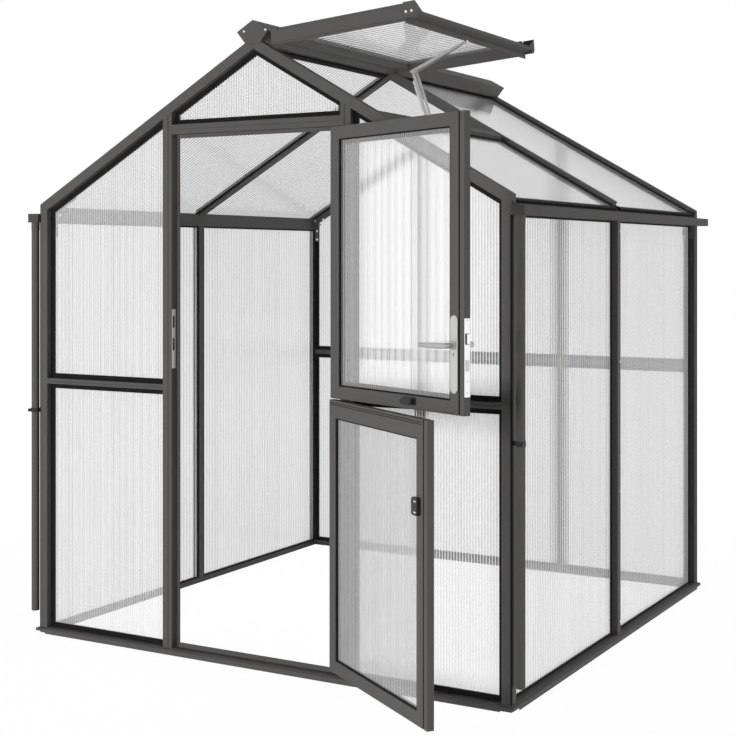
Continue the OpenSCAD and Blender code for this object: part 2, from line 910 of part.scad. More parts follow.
// Section of the free rail: a cover over the sheet edge that falls to an outer face, a sloping
// underside and an inner lip
module free_rail_section() {
    cover_x = free_in - free_cover;
    edge_low = free_edge_drop + free_edge_h;
    polygon([
        [cover_x, -vent_pane_set - pane_t - free_t], [free_in, -free_under + free_t],
        [free_in, -free_under - lip_drop], [free_in + lip_t, -free_under - lip_drop],
        [free_in + lip_t, -free_under], [vent_l, -edge_low], [vent_l, -free_edge_drop],
        [free_in + lip_t, -free_top], [cover_x, -free_top]
    ]);
}

// A side rail along the front edge, with lips set back above and below its face
module vent_side_rail() {
    rail_x = vent_barrel_r / 2;
    lip_y = vent_y0 + vent_lip_in;
    rail_y = vent_y0 + vent_rail_w;
    box(rail_x, vent_l, vent_y0, rail_y, -vent_low, -vent_drop);
    box(rail_x, vent_l - vent_lip_stop, lip_y, rail_y, -vent_drop - joint_gap,
        vent_lip_up - vent_drop);
    box(rail_x, vent_l - vent_lip_stop, lip_y, rail_y, -vent_low - vent_lip_low,
        -vent_low + joint_gap);
}

// A bracket at the free corner: a leg on the side rail and a triangular leg over the free rail
module vent_bracket() {
    corner_y = vent_y0 - bracket_t;
    low = -vent_low + vent_drop;
    box(vent_l - bracket_w, vent_l + bracket_t, corner_y, vent_y0, low, bracket_up);
    side_slab(vent_l, vent_l + bracket_t)
        polygon([[corner_y, low], [corner_y + bracket_reach, -free_edge_drop],
                 [corner_y, bracket_up]]);
}

module vent_sash() {
    rail_x = vent_barrel_r / 2;
    color(anthracite)
        at_vent() {
            difference() {
                union() {
                    for (turned = [false, true])
                        translate([0, turned ? vent_y0 + vent_y1 : 0, 0])
                            mirror([0, turned ? 1 : 0, 0]) {
                                vent_side_rail();
                                vent_bracket();
                            }
                    box(rail_x, vent_hinge_w, vent_y0, vent_y1, -vent_hinge_t, 0);
                    gable_slab(vent_y0, vent_y1) free_rail_section();
                }
                vent_sheet();
            }
            translate([0, vent_y0, 0]) rotate([-90, 0, 0])
                cylinder(r = vent_barrel_r, h = vent_y1 - vent_y0);
        }
}

module vent_pane() {
    color(sheet) at_vent() vent_sheet();
}

// A round bar between two points of the plane across the ridge
module bar(a, b, y, r) {
    d = b - a;
    translate([a.x, y, a.y]) rotate([0, atan2(d.x, d.y), 0]) cylinder(r = r, h = norm(d));
}

// A barrel along the ridge direction round one of those points
module barrel(a, y, r, l) {
    translate([a.x, y - l / 2, a.y]) rotate([-90, 0, 0]) cylinder(r = r, h = l);
}

// Automatic opener: a foot plate on the transom, a pair of arms up to the elbow with the
// cylinder behind them, and a pair on to a clamp under the lip of the free rail
module vent_opener() {
    mid_y = y_front + opener_y;
    foot_p = vent_p - foot_up;
    foot_n = end_r - transom_set + foot_t;
    foot = [foot_p * cos(roof_pitch) + foot_n * sin(roof_pitch),
            apex_z - foot_p * sin(roof_pitch) + foot_n * cos(roof_pitch)];
    elbow = foot + [-elbow_back, elbow_up];
    clamp = from_vent([free_in + lip_t / 2, -free_under - lip_drop - end_r - slope_gap]);
    back = [-tube_back, -elbow_back / elbow_up * tube_back];
    color(steel) {
        on_slope()
            box(foot_p - end_r, vent_p + end_r, mid_y - end_l / 2, mid_y + end_l / 2,
                -transom_set + slope_gap, -transom_set + slope_gap + foot_t);
        for (dy = [-arm_half, arm_half]) {
            bar(foot, elbow, mid_y + dy, arm_r);
            bar(elbow, clamp, mid_y + dy, arm_r);
        }
        bar(foot + back + [-elbow_back, elbow_up] * 0.2, elbow + back, mid_y, tube_r);
        bar(elbow, elbow + back, mid_y, arm_r);
        for (point = [foot, elbow, clamp]) barrel(point, mid_y, end_r, end_l);
    }
}

// The strike plate lies flush in the latch jamb
module strike_blank() {
    middle = spindle_z - face_drop;
    box(-door_x - plate_t, -door_x, y_front + strike_set, y_front + strike_set + strike_w,
        middle - strike_h / 2, middle + strike_h / 2);
}

module strike_plate() {
    slot_y = y_front + strike_set + (strike_w - strike_slot_w) / 2;
    color(steel)
        difference() {
            strike_blank();
            for (z = [spindle_z + latch_slot_up, spindle_z - bolt_slot_down])
                box(-door_x - plate_t - 1, -door_x + 1, slot_y, slot_y + strike_slot_w,
                    z - strike_slot_h / 2, z + strike_slot_h / 2);
        }
}

// Turns a piece of a leaf from its closed place about the hinge axis
module swung(angle) {
    translate([hinge_x, hinge_y, 0]) rotate([0, 0, angle]) translate([-hinge_x, -hinge_y, 0])
        children();
}

// Lower halves of the hinges: a barrel with its pin and a plate on the jamb
module hinge_on_frame(z) {
    mid = z + hinge_l / 2;
    translate([hinge_x, hinge_y, z]) cylinder(r = barrel_r, h = hinge_l / 2 - pin_play);
    translate([hinge_x, hinge_y, mid - 1]) cylinder(r = pin_r, h = hinge_l / 2 - 4);
    box(hinge_x, door_x + knuckle_w, hinge_y - hinge_t, y_front, z, mid - pin_play);
    box(door_x + hinge_edge, door_x + hinge_edge + hinge_jamb_w, y_front - hinge_t, y_front,
        z, z + hinge_l);
}

// Upper halves of the hinges: a bored barrel and a plate on the leaf
module hinge_on_leaf(z) {
    mid = z + hinge_l / 2;
    plate_x = leaf_x1 - hinge_edge;
    difference() {
        union() {
            translate([hinge_x, hinge_y, mid]) cylinder(r = barrel_r, h = hinge_l / 2);
            box(plate_x - knuckle_w, hinge_x, hinge_y - hinge_t, hinge_y + hinge_t,
                mid, z + hinge_l);
            box(plate_x - knuckle_w, plate_x, hinge_y - hinge_t, leaf_y0, mid, z + hinge_l);
            box(plate_x - hinge_leaf_w, plate_x, leaf_y0 - hinge_t, leaf_y0, z, z + hinge_l);
        }
        translate([hinge_x, hinge_y, mid - 1])
            cylinder(r = pin_r + pin_play, h = hinge_l / 2 - 2);
    }
}

function hinge_heights(z0, z1) = [z0 + hinge_inset - hinge_l / 2, z1 - hinge_inset - hinge_l / 2];

module frame_hinges() {
    color(anthracite)
        for (z = concat(hinge_heights(leaf_z, lower_top), hinge_heights(upper_z, leaf_top)))
            hinge_on_frame(z);
}

module leaf_pane(z0, z1, bottom_h, top_h) {
    middle = (leaf_y0 + leaf_y1) / 2;
    box(leaf_x0 + free_stile_w - pane_bite, leaf_x1 - hinge_stile_w + pane_bite,
        middle - pane_t / 2, middle + pane_t / 2, z0 + bottom_h - pane_bite, z1 - top_h + pane_bite);
}

module leaf_stiles(z0, z1, bottom_h, top_h) {
    difference() {
        union() {
            box(leaf_x0, leaf_x0 + free_stile_w, leaf_y0, leaf_y1, z0, z1);
            box(leaf_x1 - hinge_stile_w, leaf_x1, leaf_y0, leaf_y1, z0, z1);
        }
        leaf_pane(z0, z1, bottom_h, top_h);
        box(leaf_x0 + seal_groove_x, leaf_x0 + seal_groove_x + seal_groove_w,
            leaf_y1 - seal_groove_d, leaf_y1 + 1, z0 - 1, z1 + 1);
    }
}

module leaf_rails(z0, z1, bottom_h, top_h) {
    difference() {
        union() {
            box(leaf_x0 + free_stile_w, leaf_x1 - hinge_stile_w, leaf_y0, leaf_y1,
                z0, z0 + bottom_h);
            box(leaf_x0 + free_stile_w, leaf_x1 - hinge_stile_w, leaf_y0, leaf_y1,
                z1 - top_h, z1);
        }
        leaf_pane(z0, z1, bottom_h, top_h);
    }
}

module spindle_bore(r) {
    translate([lock_x, leaf_y0 - 2 * lock_t, spindle_z]) rotate([-90, 0, 0])
        cylinder(r = r, h = leaf_t + 4 * lock_t);
}

module faceplate() {
    box(leaf_x0, leaf_x0 + plate_t, leaf_y0 + joint_gap, leaf_y1 - joint_gap,
        spindle_z - face_drop - lock_h / 2, spindle_z - face_drop + lock_h / 2);
}

module upper_stiles() {
    color(anthracite)
        swung(upper_open)
            difference() {
                leaf_stiles(upper_z, leaf_top, leaf_rail_h, leaf_rail_h);
                faceplate();
                spindle_bore(spindle_r + spindle_play);
            }
}

module upper_rails() {
    color(anthracite)
        swung(upper_open) leaf_rails(upper_z, leaf_top, leaf_rail_h, leaf_rail_h);
}

module upper_pane() {
    color(sheet) swung(upper_open) leaf_pane(upper_z, leaf_top, leaf_rail_h, leaf_rail_h);
}

module upper_hinges() {
    color(anthracite)
        swung(upper_open)
            for (z = hinge_heights(upper_z, leaf_top)) hinge_on_leaf(z);
}

// Lock plates on both faces of the free stile and the faceplate let into its edge
module upper_lock() {
    color(steel)
        swung(upper_open) {
            difference() {
                for (y = [leaf_y0 - lock_t, leaf_y1])
                    box(lock_x - lock_w / 2, lock_x + lock_w / 2, y, y + lock_t,
                        spindle_z - lock_drop - lock_h / 2, spindle_z - lock_drop + lock_h / 2);
                spindle_bore(spindle_r + spindle_play);
            }
            faceplate();
        }
}

module leaf_latch() {
    middle = leaf_x1 - latch_x;
    z0 = upper_z + latch_z;
    knob_z = z0 + (latch_h - knob_h) / 2;
    color(shade)
        swung(upper_open) {
            box(middle - latch_w / 2, middle + latch_w / 2, leaf_y1, leaf_y1 + latch_t,
                z0, z0 + latch_h);
            box(middle - knob_w / 2, middle + knob_w / 2, leaf_y1 + latch_t,
                leaf_y1 + latch_t + knob_out, knob_z, knob_z + knob_h);
        }
}

// A pair of levers on one spindle through the free stile
module lever(side) {
    rotate([-90 * side, 0, 0]) cylinder(r = collar_r, h = collar_l);
    rotate([-90 * side, 0, 0]) cylinder(r = lever_r, h = lever_out);
    translate([0, side * lever_out, 0]) {
        sphere(r = lever_r);
        rotate([0, 90, 0]) cylinder(r = lever_r, h = lever_l - lever_r);
        translate([lever_l - lever_r, 0, 0]) sphere(r = lever_r);
    }
}

module door_handle() {
    inner = leaf_y1 + lock_t + pin_play;
    outer = leaf_y0 - lock_t - pin_play;
    color(steel)
        swung(upper_open)
            translate([lock_x, 0, spindle_z]) {
                translate([0, outer - 1, 0]) rotate([-90, 0, 0])
                    cylinder(r = spindle_r, h = inner - outer + 2);
                translate([0, inner, 0]) lever(1);
                translate([0, outer, 0]) lever(-1);
            }
}

module lower_stiles() {
    color(anthracite)
        swung(lower_open) leaf_stiles(leaf_z, lower_top, leaf_rail_h, meeting_rail_h);
}

module lower_rails() {
    color(anthracite)
        swung(lower_open) leaf_rails(leaf_z, lower_top, leaf_rail_h, meeting_rail_h);
}

module lower_pane() {
    color(sheet) swung(lower_open) leaf_pane(leaf_z, lower_top, leaf_rail_h, meeting_rail_h);
}

module lower_hinges() {
    color(anthracite)
        swung(lower_open)
            for (z = hinge_heights(leaf_z, lower_top)) hinge_on_leaf(z);
}

module lower_catch() {
    color(shade)
        swung(lower_open)
            box(leaf_x0 + catch_x, leaf_x0 + catch_x + catch_w, leaf_y1, leaf_y1 + catch_t,
                catch_z, catch_z + catch_h);
}

front_base();
back_base();
side_bases();
base_corners();
front_posts();
back_posts();
mid_posts();
door_jambs();
door_head();
door_stops();
front_rails();
back_mullions();
back_rails();
eave_beams();
front_rafters();
back_rafters();
mid_rafters();
ridge_beam();
ridge_end_plates();
vent_transom();
front_panes();
back_panes();
side_panes();
roof_panes();
gable_seals();
side_seals();
roof_seals();
gussets();
gutters();
downpipes();
pipe_clips();
vent_sash();
vent_pane();
vent_opener();
strike_plate();
frame_hinges();
upper_stiles();
upper_rails();
upper_pane();
upper_hinges();
upper_lock();
leaf_latch();
door_handle();
lower_stiles();
lower_rails();
lower_pane();
lower_hinges();
lower_catch();
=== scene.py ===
# %% [markdown]
# # A polycarbonate greenhouse
# This lesson dresses a greenhouse that was built beforehand as exact solids: posts, rafters,
# sheets, a door in two leaves and an open roof vent. Those solids are loaded first and keep their
# shape. We then light them, give each one a finish that comes from shader nodes, and add the small
# parts that a solid model leaves out, such as the bolts, the lock and the opener of the vent.
# Everything is in metres. X runs along the front gable, Y from front to back and Z up.

import json
import math

import bpy
import numpy as np
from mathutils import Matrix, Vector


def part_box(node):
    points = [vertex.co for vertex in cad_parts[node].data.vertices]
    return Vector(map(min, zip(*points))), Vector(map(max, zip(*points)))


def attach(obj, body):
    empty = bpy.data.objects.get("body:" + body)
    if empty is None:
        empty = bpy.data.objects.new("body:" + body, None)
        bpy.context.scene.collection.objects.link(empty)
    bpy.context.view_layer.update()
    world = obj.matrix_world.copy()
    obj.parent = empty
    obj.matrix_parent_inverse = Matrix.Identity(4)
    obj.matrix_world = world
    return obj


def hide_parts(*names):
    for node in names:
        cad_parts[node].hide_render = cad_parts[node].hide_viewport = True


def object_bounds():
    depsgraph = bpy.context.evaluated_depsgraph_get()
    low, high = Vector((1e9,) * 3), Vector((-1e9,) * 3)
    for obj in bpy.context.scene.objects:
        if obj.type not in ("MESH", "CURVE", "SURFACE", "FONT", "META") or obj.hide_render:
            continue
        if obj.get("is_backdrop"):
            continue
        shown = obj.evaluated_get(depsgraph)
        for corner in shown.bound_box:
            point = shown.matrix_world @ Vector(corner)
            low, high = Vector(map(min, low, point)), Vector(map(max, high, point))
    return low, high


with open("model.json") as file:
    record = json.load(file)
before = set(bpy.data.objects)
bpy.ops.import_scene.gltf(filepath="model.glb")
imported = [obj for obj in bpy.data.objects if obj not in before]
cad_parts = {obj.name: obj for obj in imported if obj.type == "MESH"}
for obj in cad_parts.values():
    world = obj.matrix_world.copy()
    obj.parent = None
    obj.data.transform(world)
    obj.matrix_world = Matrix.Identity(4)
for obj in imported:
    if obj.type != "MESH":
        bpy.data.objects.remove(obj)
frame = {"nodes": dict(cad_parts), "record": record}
lowest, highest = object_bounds()
cad_box = [list(lowest), list(highest)]
nodes = frame["nodes"]
print(len(nodes), "solids in a box from", cad_box[0], "to", cad_box[1])

# %% [markdown]
# ## The camera
# A camera looks along its own -Z. To see a building with its upright lines upright, it has to look
# level, so it is turned by a quarter turn about X and then only about Z. The building then sits too
# low in the picture, and shifting the lens puts that right without tilting the camera, which is
# what a view camera does.

# %% Place the camera
eye = bpy.data.cameras.new("camera")
eye.sensor_width = 36
eye.lens = 69.93
eye.shift_y = -0.1510
eye.clip_end = 60
camera = bpy.data.objects.new("camera", eye)
camera.location = (2.818, -4.159, 1.435)
camera.rotation_euler = (math.pi / 2, 0, 0.5183)
bpy.context.scene.collection.objects.link(camera)
bpy.context.scene.camera = camera
print("camera at", tuple(camera.location), "with a", eye.lens, "mm lens")

# %% [markdown]
# ## Light, sky and ground
# Dark powder-coated metal shows its shape by how bright each side of a profile is. Four large soft
# lamps stand low and level, one facing each side of the building. They give bright upright faces
# and keep the upper and lower faces dark, which draws every edge of the frame. A weak sky fills in
# the rest. Behind the building there is a plain white of strength 1, and the sheets let it through.
#
# Sky and ground both need to know whether a ray shows them to the eye, be it straight, in a
# reflection or through a sheet. The Light Path node has a value of 0 or 1 for each of these kinds
# of ray, and the largest of the three is the answer.


# %% A kit for node trees
def add_node(tree, kind, **settings):
    """A node of that kind in the tree, with its properties set."""
    node = tree.nodes.new("ShaderNode" + kind)
    for key, value in settings.items():
        setattr(node, key, value)
    return node


def join(tree, *pairs):
    """Links each pair of sockets in the tree."""
    for source, target in pairs:
        tree.links.new(source, target)


def meets_the_eye(tree):
    """1 for a camera, glossy or transmission ray, and 0 for a ray that only carries light."""
    path = add_node(tree, "LightPath")
    seen = path.outputs["Is Camera Ray"]
    for kind in ("Is Glossy Ray", "Is Transmission Ray"):
        largest = add_node(tree, "Math", operation="MAXIMUM")
        join(tree, (seen, largest.inputs[0]), (path.outputs[kind], largest.inputs[1]))
        seen = largest.outputs[0]
    return seen


print("node kit ready")

# %% Sky
SKY_LIGHT, SKY_SEEN = 0.22, 1.0

scene = bpy.context.scene
scene.view_settings.view_transform = "Standard"
sky = bpy.data.worlds.new("sky")
scene.world = sky
sky.use_nodes = True
tree = sky.node_tree
tree.nodes.clear()
choose = add_node(tree, "MixShader")
out = add_node(tree, "OutputWorld")
join(tree, (meets_the_eye(tree), choose.inputs[0]), (choose.outputs[0], out.inputs["Surface"]))
for place, strength in ((1, SKY_LIGHT), (2, SKY_SEEN)):
    glow = add_node(tree, "Background")
    glow.inputs["Color"].default_value = (1.0, 1.0, 1.0, 1)
    glow.inputs["Strength"].default_value = strength
    join(tree, (glow.outputs[0], choose.inputs[place]))
print("sky strength", SKY_LIGHT)

# %% Lamps
LAMP_WIDE, LAMP_TALL, LAMP_HEIGHT = 3.6, 1.8, 0.95
AIM = np.array([0, 0.9, 1.0])


def soft_lamp(name, x, y, watts):
    """A wide low lamp that faces AIM, and shows in no reflection and through no sheet."""
    data = bpy.data.lights.new(name, "AREA")
    data.shape = "RECTANGLE"
    data.size = LAMP_WIDE
    data.size_y = LAMP_TALL
    data.energy = watts
    lamp = bpy.data.objects.new(name, data)
    lamp.location = (x, y, LAMP_HEIGHT)
    way = AIM - (x, y, LAMP_HEIGHT)
    turn = math.atan2(way[1], way[0]) - math.pi / 2
    tilt = math.atan2(way[2], math.hypot(way[0], way[1])) + math.pi / 2
    lamp.rotation_euler = (tilt, 0, turn)
    lamp.visible_camera = lamp.visible_glossy = lamp.visible_transmission = False
    scene.collection.objects.link(lamp)
    return lamp


lamps = [
    soft_lamp("front_lamp", -1.6, -6.5, 430),
    soft_lamp("side_lamp", 7.0, 0.2, 225),
    soft_lamp("back_lamp", 1.6, 8.3, 320),
    soft_lamp("left_lamp", -7.0, 1.6, 225),
]
print(len(lamps), "lamps of", [round(lamp.data.energy) for lamp in lamps], "W")


# %% Ground
def shader_tree(name):
    """A new material with an empty node tree, and its output node."""
    material = bpy.data.materials.new(name)
    material.use_nodes = True
    tree = material.node_tree
    tree.nodes.clear()
    return material, tree, add_node(tree, "OutputMaterial")


def ground_finish():
    """White to the eye, with a trace of shadow near the building, and a pale floor to light."""
    material, tree, output = shader_tree("pale_ground")
    here = add_node(tree, "TexCoord")
    far = add_node(tree, "VectorMath", operation="LENGTH")
    fade = add_node(tree, "MapRange")
    for socket, value in (("From Min", 2.5), ("From Max", 6.0), ("To Min", 0.94), ("To Max", 1.0)):
        fade.inputs[socket].default_value = value
    share = add_node(tree, "Math", operation="MULTIPLY")
    glow = add_node(tree, "Emission")
    glow.inputs["Color"].default_value = (1.0, 1.0, 1.0, 1)
    glow.inputs["Strength"].default_value = 1.03
    matt = add_node(tree, "BsdfDiffuse")
    matt.inputs["Color"].default_value = (0.72, 0.72, 0.72, 1)
    mix = add_node(tree, "MixShader")
    join(
        tree,
        (here.outputs["Object"], far.inputs[0]),
        (far.outputs["Value"], fade.inputs["Value"]),
        (meets_the_eye(tree), share.inputs[0]),
        (fade.outputs[0], share.inputs[1]),
        (share.outputs[0], mix.inputs[0]),
        (matt.outputs[0], mix.inputs[1]),
        (glow.outputs[0], mix.inputs[2]),
        (mix.outputs[0], output.inputs["Surface"]),
    )
    return material


def ground_sheet(half, centre, height):
    """A flat square: x and y run from centre - half to centre + half."""
    side = np.array([-half, half])
    x, y = np.meshgrid(side + centre[0], side + centre[1])
    points = np.stack([x.ravel(), y.ravel(), np.full(4, height)], axis=1)
    mesh = bpy.data.meshes.new("ground")
    mesh.from_pydata(points.tolist(), [], [(0, 1, 3, 2)])
    mesh.materials.append(ground_finish())
    return bpy.data.objects.new("ground", mesh)


ground = ground_sheet(24, (0, 1), -0.001)
scene.collection.objects.link(ground)
ground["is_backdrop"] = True
print("ground", ground.dimensions[:2])

# %% [markdown]
# ## Finishes
# Each finish below is a Principled shader. What is the same all over is typed on the shader, and
# what changes from place to place is worked out by nodes from the object's own coordinates. The
# solids sit at the origin unturned, so those coordinates are plain metres in the building.


# %% A kit for finishes
class Finish:
    """A Principled material that nodes can be added to one by one."""

    def __init__(self, name, **sockets):
        self.material, self.tree, output = shader_tree(name)
        self.shader = self.add("BsdfPrincipled")
        join(self.tree, (self.shader.outputs["BSDF"], output.inputs["Surface"]))
        for socket, value in sockets.items():
            self.shader.inputs[socket.replace("_", " ")].default_value = value

    def add(self, kind, **settings):
        """A node of that kind with its properties set."""
        return add_node(self.tree, kind, **settings)

    def place(self, turn=0.0, scale=(1, 1, 1)):
        """Object coordinates, turned about Z and scaled."""
        here = self.add("TexCoord")
        frame_of = self.add("Mapping")
        frame_of.inputs["Rotation"].default_value = (0, 0, turn)
        frame_of.inputs["Scale"].default_value = scale
        join(self.tree, (here.outputs["Object"], frame_of.inputs["Vector"]))
        return frame_of.outputs["Vector"]

    def noise(self, vector, scale, detail=2.0):
        """Cloudy noise from 0 to 1 at that many lumps a metre."""
        cloud = self.add("TexNoise")
        cloud.inputs["Scale"].default_value = scale
        cloud.inputs["Detail"].default_value = detail
        join(self.tree, (vector, cloud.inputs["Vector"]))
        return cloud.outputs["Fac"]

    def math(self, kind, a, b=None, c=None):
        """One step of arithmetic on sockets or numbers."""
        step = self.add("Math", operation=kind)
        for slot, value in zip(step.inputs, (a, b, c)):
            if value is None:
                continue
            if isinstance(value, (int, float)):
                slot.default_value = value
            else:
                join(self.tree, (value, slot))
        return step.outputs[0]

    def blend(self, factor, low, high):
        """A colour that goes from low to high as the factor goes from 0 to 1."""
        mix = self.add("Mix", data_type="RGBA")
        ends = {"A": (*low, 1), "B": (*high, 1)}
        for socket in mix.inputs:
            if socket.type == "RGBA":
                socket.default_value = ends[socket.name]
        join(self.tree, (factor, mix.inputs["Factor"]))
        return [socket for socket in mix.outputs if socket.type == "RGBA"][0]

    def colour(self, socket):
        """Sends a colour to the shader."""
        join(self.tree, (socket, self.shader.inputs["Base Color"]))

    def rough(self, socket, low, high):
        """Roughness between low and high."""
        span = self.add("MapRange")
        span.inputs["To Min"].default_value = low
        span.inputs["To Max"].default_value = high
        join(
            self.tree,
            (socket, span.inputs["Value"]),
            (span.outputs[0], self.shader.inputs["Roughness"]),
        )

    def bump(self, height, distance, strength=1.0):
        """Tilts the surface as if it rose by height times distance."""
        dent = self.add("Bump")
        dent.inputs["Strength"].default_value = strength
        dent.inputs["Distance"].default_value = distance
        join(
            self.tree,
            (height, dent.inputs["Height"]),
            (dent.outputs["Normal"], self.shader.inputs["Normal"]),
        )


print("finish kit ready")

# %% [markdown]
# ### Anthracite powder coat
# Powder coat is a dull, very finely pebbled skin. Its colour hardly changes, so two things tell it
# from flat grey: the pebbles, which spread every reflection, and a faint cloudiness, where the coat
# is a little thicker or has been handled. Noise at two scales gives both. The gutters get a deeper
# grey than the rest. The back posts get a deeper grey still, which is painted shade.


# %% Powder coat
def powder_coat(name, light, dark):
    """Grey between dark and light, with pebbles half a millimetre across."""
    coat = Finish(name, Specular_IOR_Level=0.05)
    here = coat.place()
    clouds = coat.noise(here, 7.0, detail=4.0)
    pebbles = coat.noise(here, 1900.0, detail=1.0)
    coat.colour(coat.blend(clouds, dark, light))
    coat.rough(clouds, 0.50, 0.62)
    coat.bump(pebbles, 0.00012, 0.35)
    return coat.material


anthracite = powder_coat("anthracite_coat", (0.090, 0.089, 0.085), (0.079, 0.078, 0.075))
gutter_grey = powder_coat("gutter_coat", (0.068, 0.067, 0.065), (0.059, 0.058, 0.056))
pipe_grey = powder_coat("pipe_coat", (0.092, 0.091, 0.087), (0.082, 0.081, 0.078))
# The back posts' darker coat is painted shade.
shaded_coat = powder_coat("shaded_coat", (0.056, 0.055, 0.053), (0.048, 0.047, 0.045))
coats = (anthracite, gutter_grey, pipe_grey, shaded_coat)
print("powder coats:", *(coat.name for coat in coats))

# %% [markdown]
# ### Twin-wall sheet
# The glazing is two thin skins joined by upright webs. Each web shows as a fine line that hides
# what is behind, and the channels between the webs let the view through. So a post behind a sheet
# is a pale band with fine lines over it. It all comes from one coordinate that runs across the
# webs. The cosine of the way through a channel is 1 at a web and -1 between two webs. Moved to the
# range from 0 to 1 and squared, it gives a line that is narrower than the gap beside it. Along that
# line less light gets through, and the tint is another: paler in the walls, darker in the roof and
# a little darker in the leaves. The dark webs of the roof and the vent, seen against the sky, are
# painted shade, and so is the much darker tint of the whole lower leaf. There is also a small step
# in tone from one pair of channels to the next, because no two are quite alike, and a faint bump.


# %% Twin-wall sheet
WEB = 0.0105


def twin_wall(name, across, tint, web_tint, turn=0.0, pitch=WEB, clear=0.94, drop=0.36, lanes=0.0):
    """Webs at every pitch along the axis across, after a turn about Z.

    The share of light let through is clear - drop * web, where web is ((1 + cos) / 2) squared.
    The tint is tint + (web_tint - tint) * web, less up to lanes in each pair of channels.
    """
    pane = Finish(name, IOR=1.12, Roughness=0.02, Specular_IOR_Level=0.3)
    apart = pane.add("SeparateXYZ")
    join(pane.tree, (pane.place(turn), apart.inputs[0]))
    steps = pane.math("DIVIDE", apart.outputs[across], pitch)
    wave = pane.math("COSINE", pane.math("MULTIPLY", pane.math("FRACT", steps), 2 * math.pi))
    web = pane.math("POWER", pane.math("MULTIPLY_ADD", wave, 0.5, 0.5), 2.0)
    lane = pane.add("TexWhiteNoise", noise_dimensions="1D")
    pair = pane.math("FLOOR", pane.math("MULTIPLY", steps, 0.5))
    join(pane.tree, (pair, lane.inputs["W"]))
    uneven = pane.math("MULTIPLY", lane.outputs["Value"], -lanes)
    tone = pane.math("ADD", pane.math("MULTIPLY_ADD", web, web_tint - tint, tint), uneven)
    pane.colour(pane.blend(tone, (0.0,) * 3, (1.0,) * 3))
    open_share = pane.math("MULTIPLY_ADD", web, -drop, clear)
    join(pane.tree, (open_share, pane.shader.inputs["Transmission Weight"]))
    pane.bump(wave, 0.00003)
    return pane.material


joints = {joint["name"]: joint for joint in frame["record"]["behaviour"]["joints"]}
open_turn = {
    door: -math.radians(joints[door]["range_deg"][0]) for door in ("upper_door", "lower_door")
}
gable_sheet = twin_wall("gable_sheet", "X", 0.80, 0.87, clear=0.95, drop=0.42, lanes=0.03)
side_sheet = twin_wall(
    "side_sheet", "Y", 0.85, 0.96, pitch=2 * WEB, clear=0.97, drop=0.56, lanes=0.04
)
# The roof and vent webs are tinted dark as painted shade.
roof_sheet = twin_wall("roof_sheet", "Y", 1.0, 0.40, pitch=2 * WEB, drop=0.3)
vent_sheet = twin_wall("vent_sheet", "Y", 1.0, 0.36, pitch=3 * WEB, clear=0.95, drop=0.3)
upper_sheet = twin_wall(
    "upper_leaf_sheet", "X", 0.98, 0.89, turn=-open_turn["upper_door"],
    clear=0.96, drop=0.26, lanes=0.02,
)
# The lower leaf's darker tint is painted shade.
lower_sheet = twin_wall(
    "lower_leaf_sheet", "X", 0.66, 0.64, turn=-open_turn["lower_door"], clear=0.88, lanes=0.03
)
print("webs every", WEB * 1000, "mm in the gables and leaves, and wider elsewhere")

# %% [markdown]
# ### Rubber, moulded plastic and steel
# The glazing strips are extruded rubber: nearly black and quite dull, with cloudy wear. The clips
# and the latch are moulded plastic, smoother and with a fine grain. The lock, the levers, the bolts
# and the opener are metal. The colour is pale, and what makes it look brushed is noise that is
# stretched along the brushing, so that colour and roughness change quickly across it. Metal that
# stands outdoors gets a dull skin, so Metallic is below 1 on all but the plated opener.


# %% Strip, plastic and metals
def rubber(name):
    """Near-black and dull, with cloudy wear."""
    strip = Finish(name, Specular_IOR_Level=0.06)
    here = strip.place()
    wear = strip.noise(here, 23.0, detail=3.0)
    strip.colour(strip.blend(wear, (0.008, 0.008, 0.008), (0.016, 0.016, 0.015)))
    strip.rough(wear, 0.62, 0.78)
    strip.bump(strip.noise(here, 900.0), 0.0001, 0.4)
    return strip.material


def moulded(name):
    """Black plastic with a fine spark-eroded grain."""
    plastic = Finish(name, Specular_IOR_Level=0.4)
    grain = plastic.noise(plastic.place(), 1500.0)
    plastic.colour(plastic.blend(grain, (0.012, 0.012, 0.012), (0.020, 0.020, 0.020)))
    plastic.rough(grain, 0.38, 0.52)
    plastic.bump(grain, 0.0001, 0.4)
    return plastic.material


def brushed(name, low, high, along, smooth=0.24, dull=0.42, metallic=1.0):
    """Pale metal whose fine lines follow the axis with the small scale in along."""
    metal = Finish(name, Metallic=metallic)
    lines = metal.noise(metal.place(scale=along), 1.0, detail=3.0)
    metal.colour(metal.blend(lines, low, high))
    metal.rough(lines, smooth, dull)
    metal.bump(lines, 0.00004, 0.3)
    return metal.material


UPRIGHT = (420, 420, 5)
# Black rubber for seals and gaskets, and also for painted shade on the corner posts and meeting
# rail.
glazing_rubber = rubber("glazing_rubber")
# Black plastic for clips, knob, catch and foot, and also for painted shade in lock holes and slots.
black_plastic = moulded("black_plastic")
satin_steel = brushed(
    "satin_steel", (0.50, 0.50, 0.49), (0.64, 0.64, 0.63), UPRIGHT, metallic=0.8
)
lever_steel = brushed(
    "lever_steel", (0.40, 0.40, 0.39), (0.54, 0.54, 0.53), UPRIGHT, metallic=0.9
)
plate_steel = brushed(
    "plate_steel", (0.66, 0.66, 0.65), (0.74, 0.74, 0.73), UPRIGHT, metallic=0.35
)
zinc = brushed(
    "zinc_plate", (0.62, 0.62, 0.61), (0.74, 0.74, 0.73), (60, 60, 60), smooth=0.34, dull=0.5
)
bolt_steel = brushed(
    "bolt_steel", (0.86, 0.86, 0.85), (0.96, 0.96, 0.95), (90, 90, 90),
    smooth=0.25, dull=0.4, metallic=0.7,
)
metals = (satin_steel, lever_steel, plate_steel, zinc, bolt_steel)
print("rubber, plastic and", len(metals), "metals")

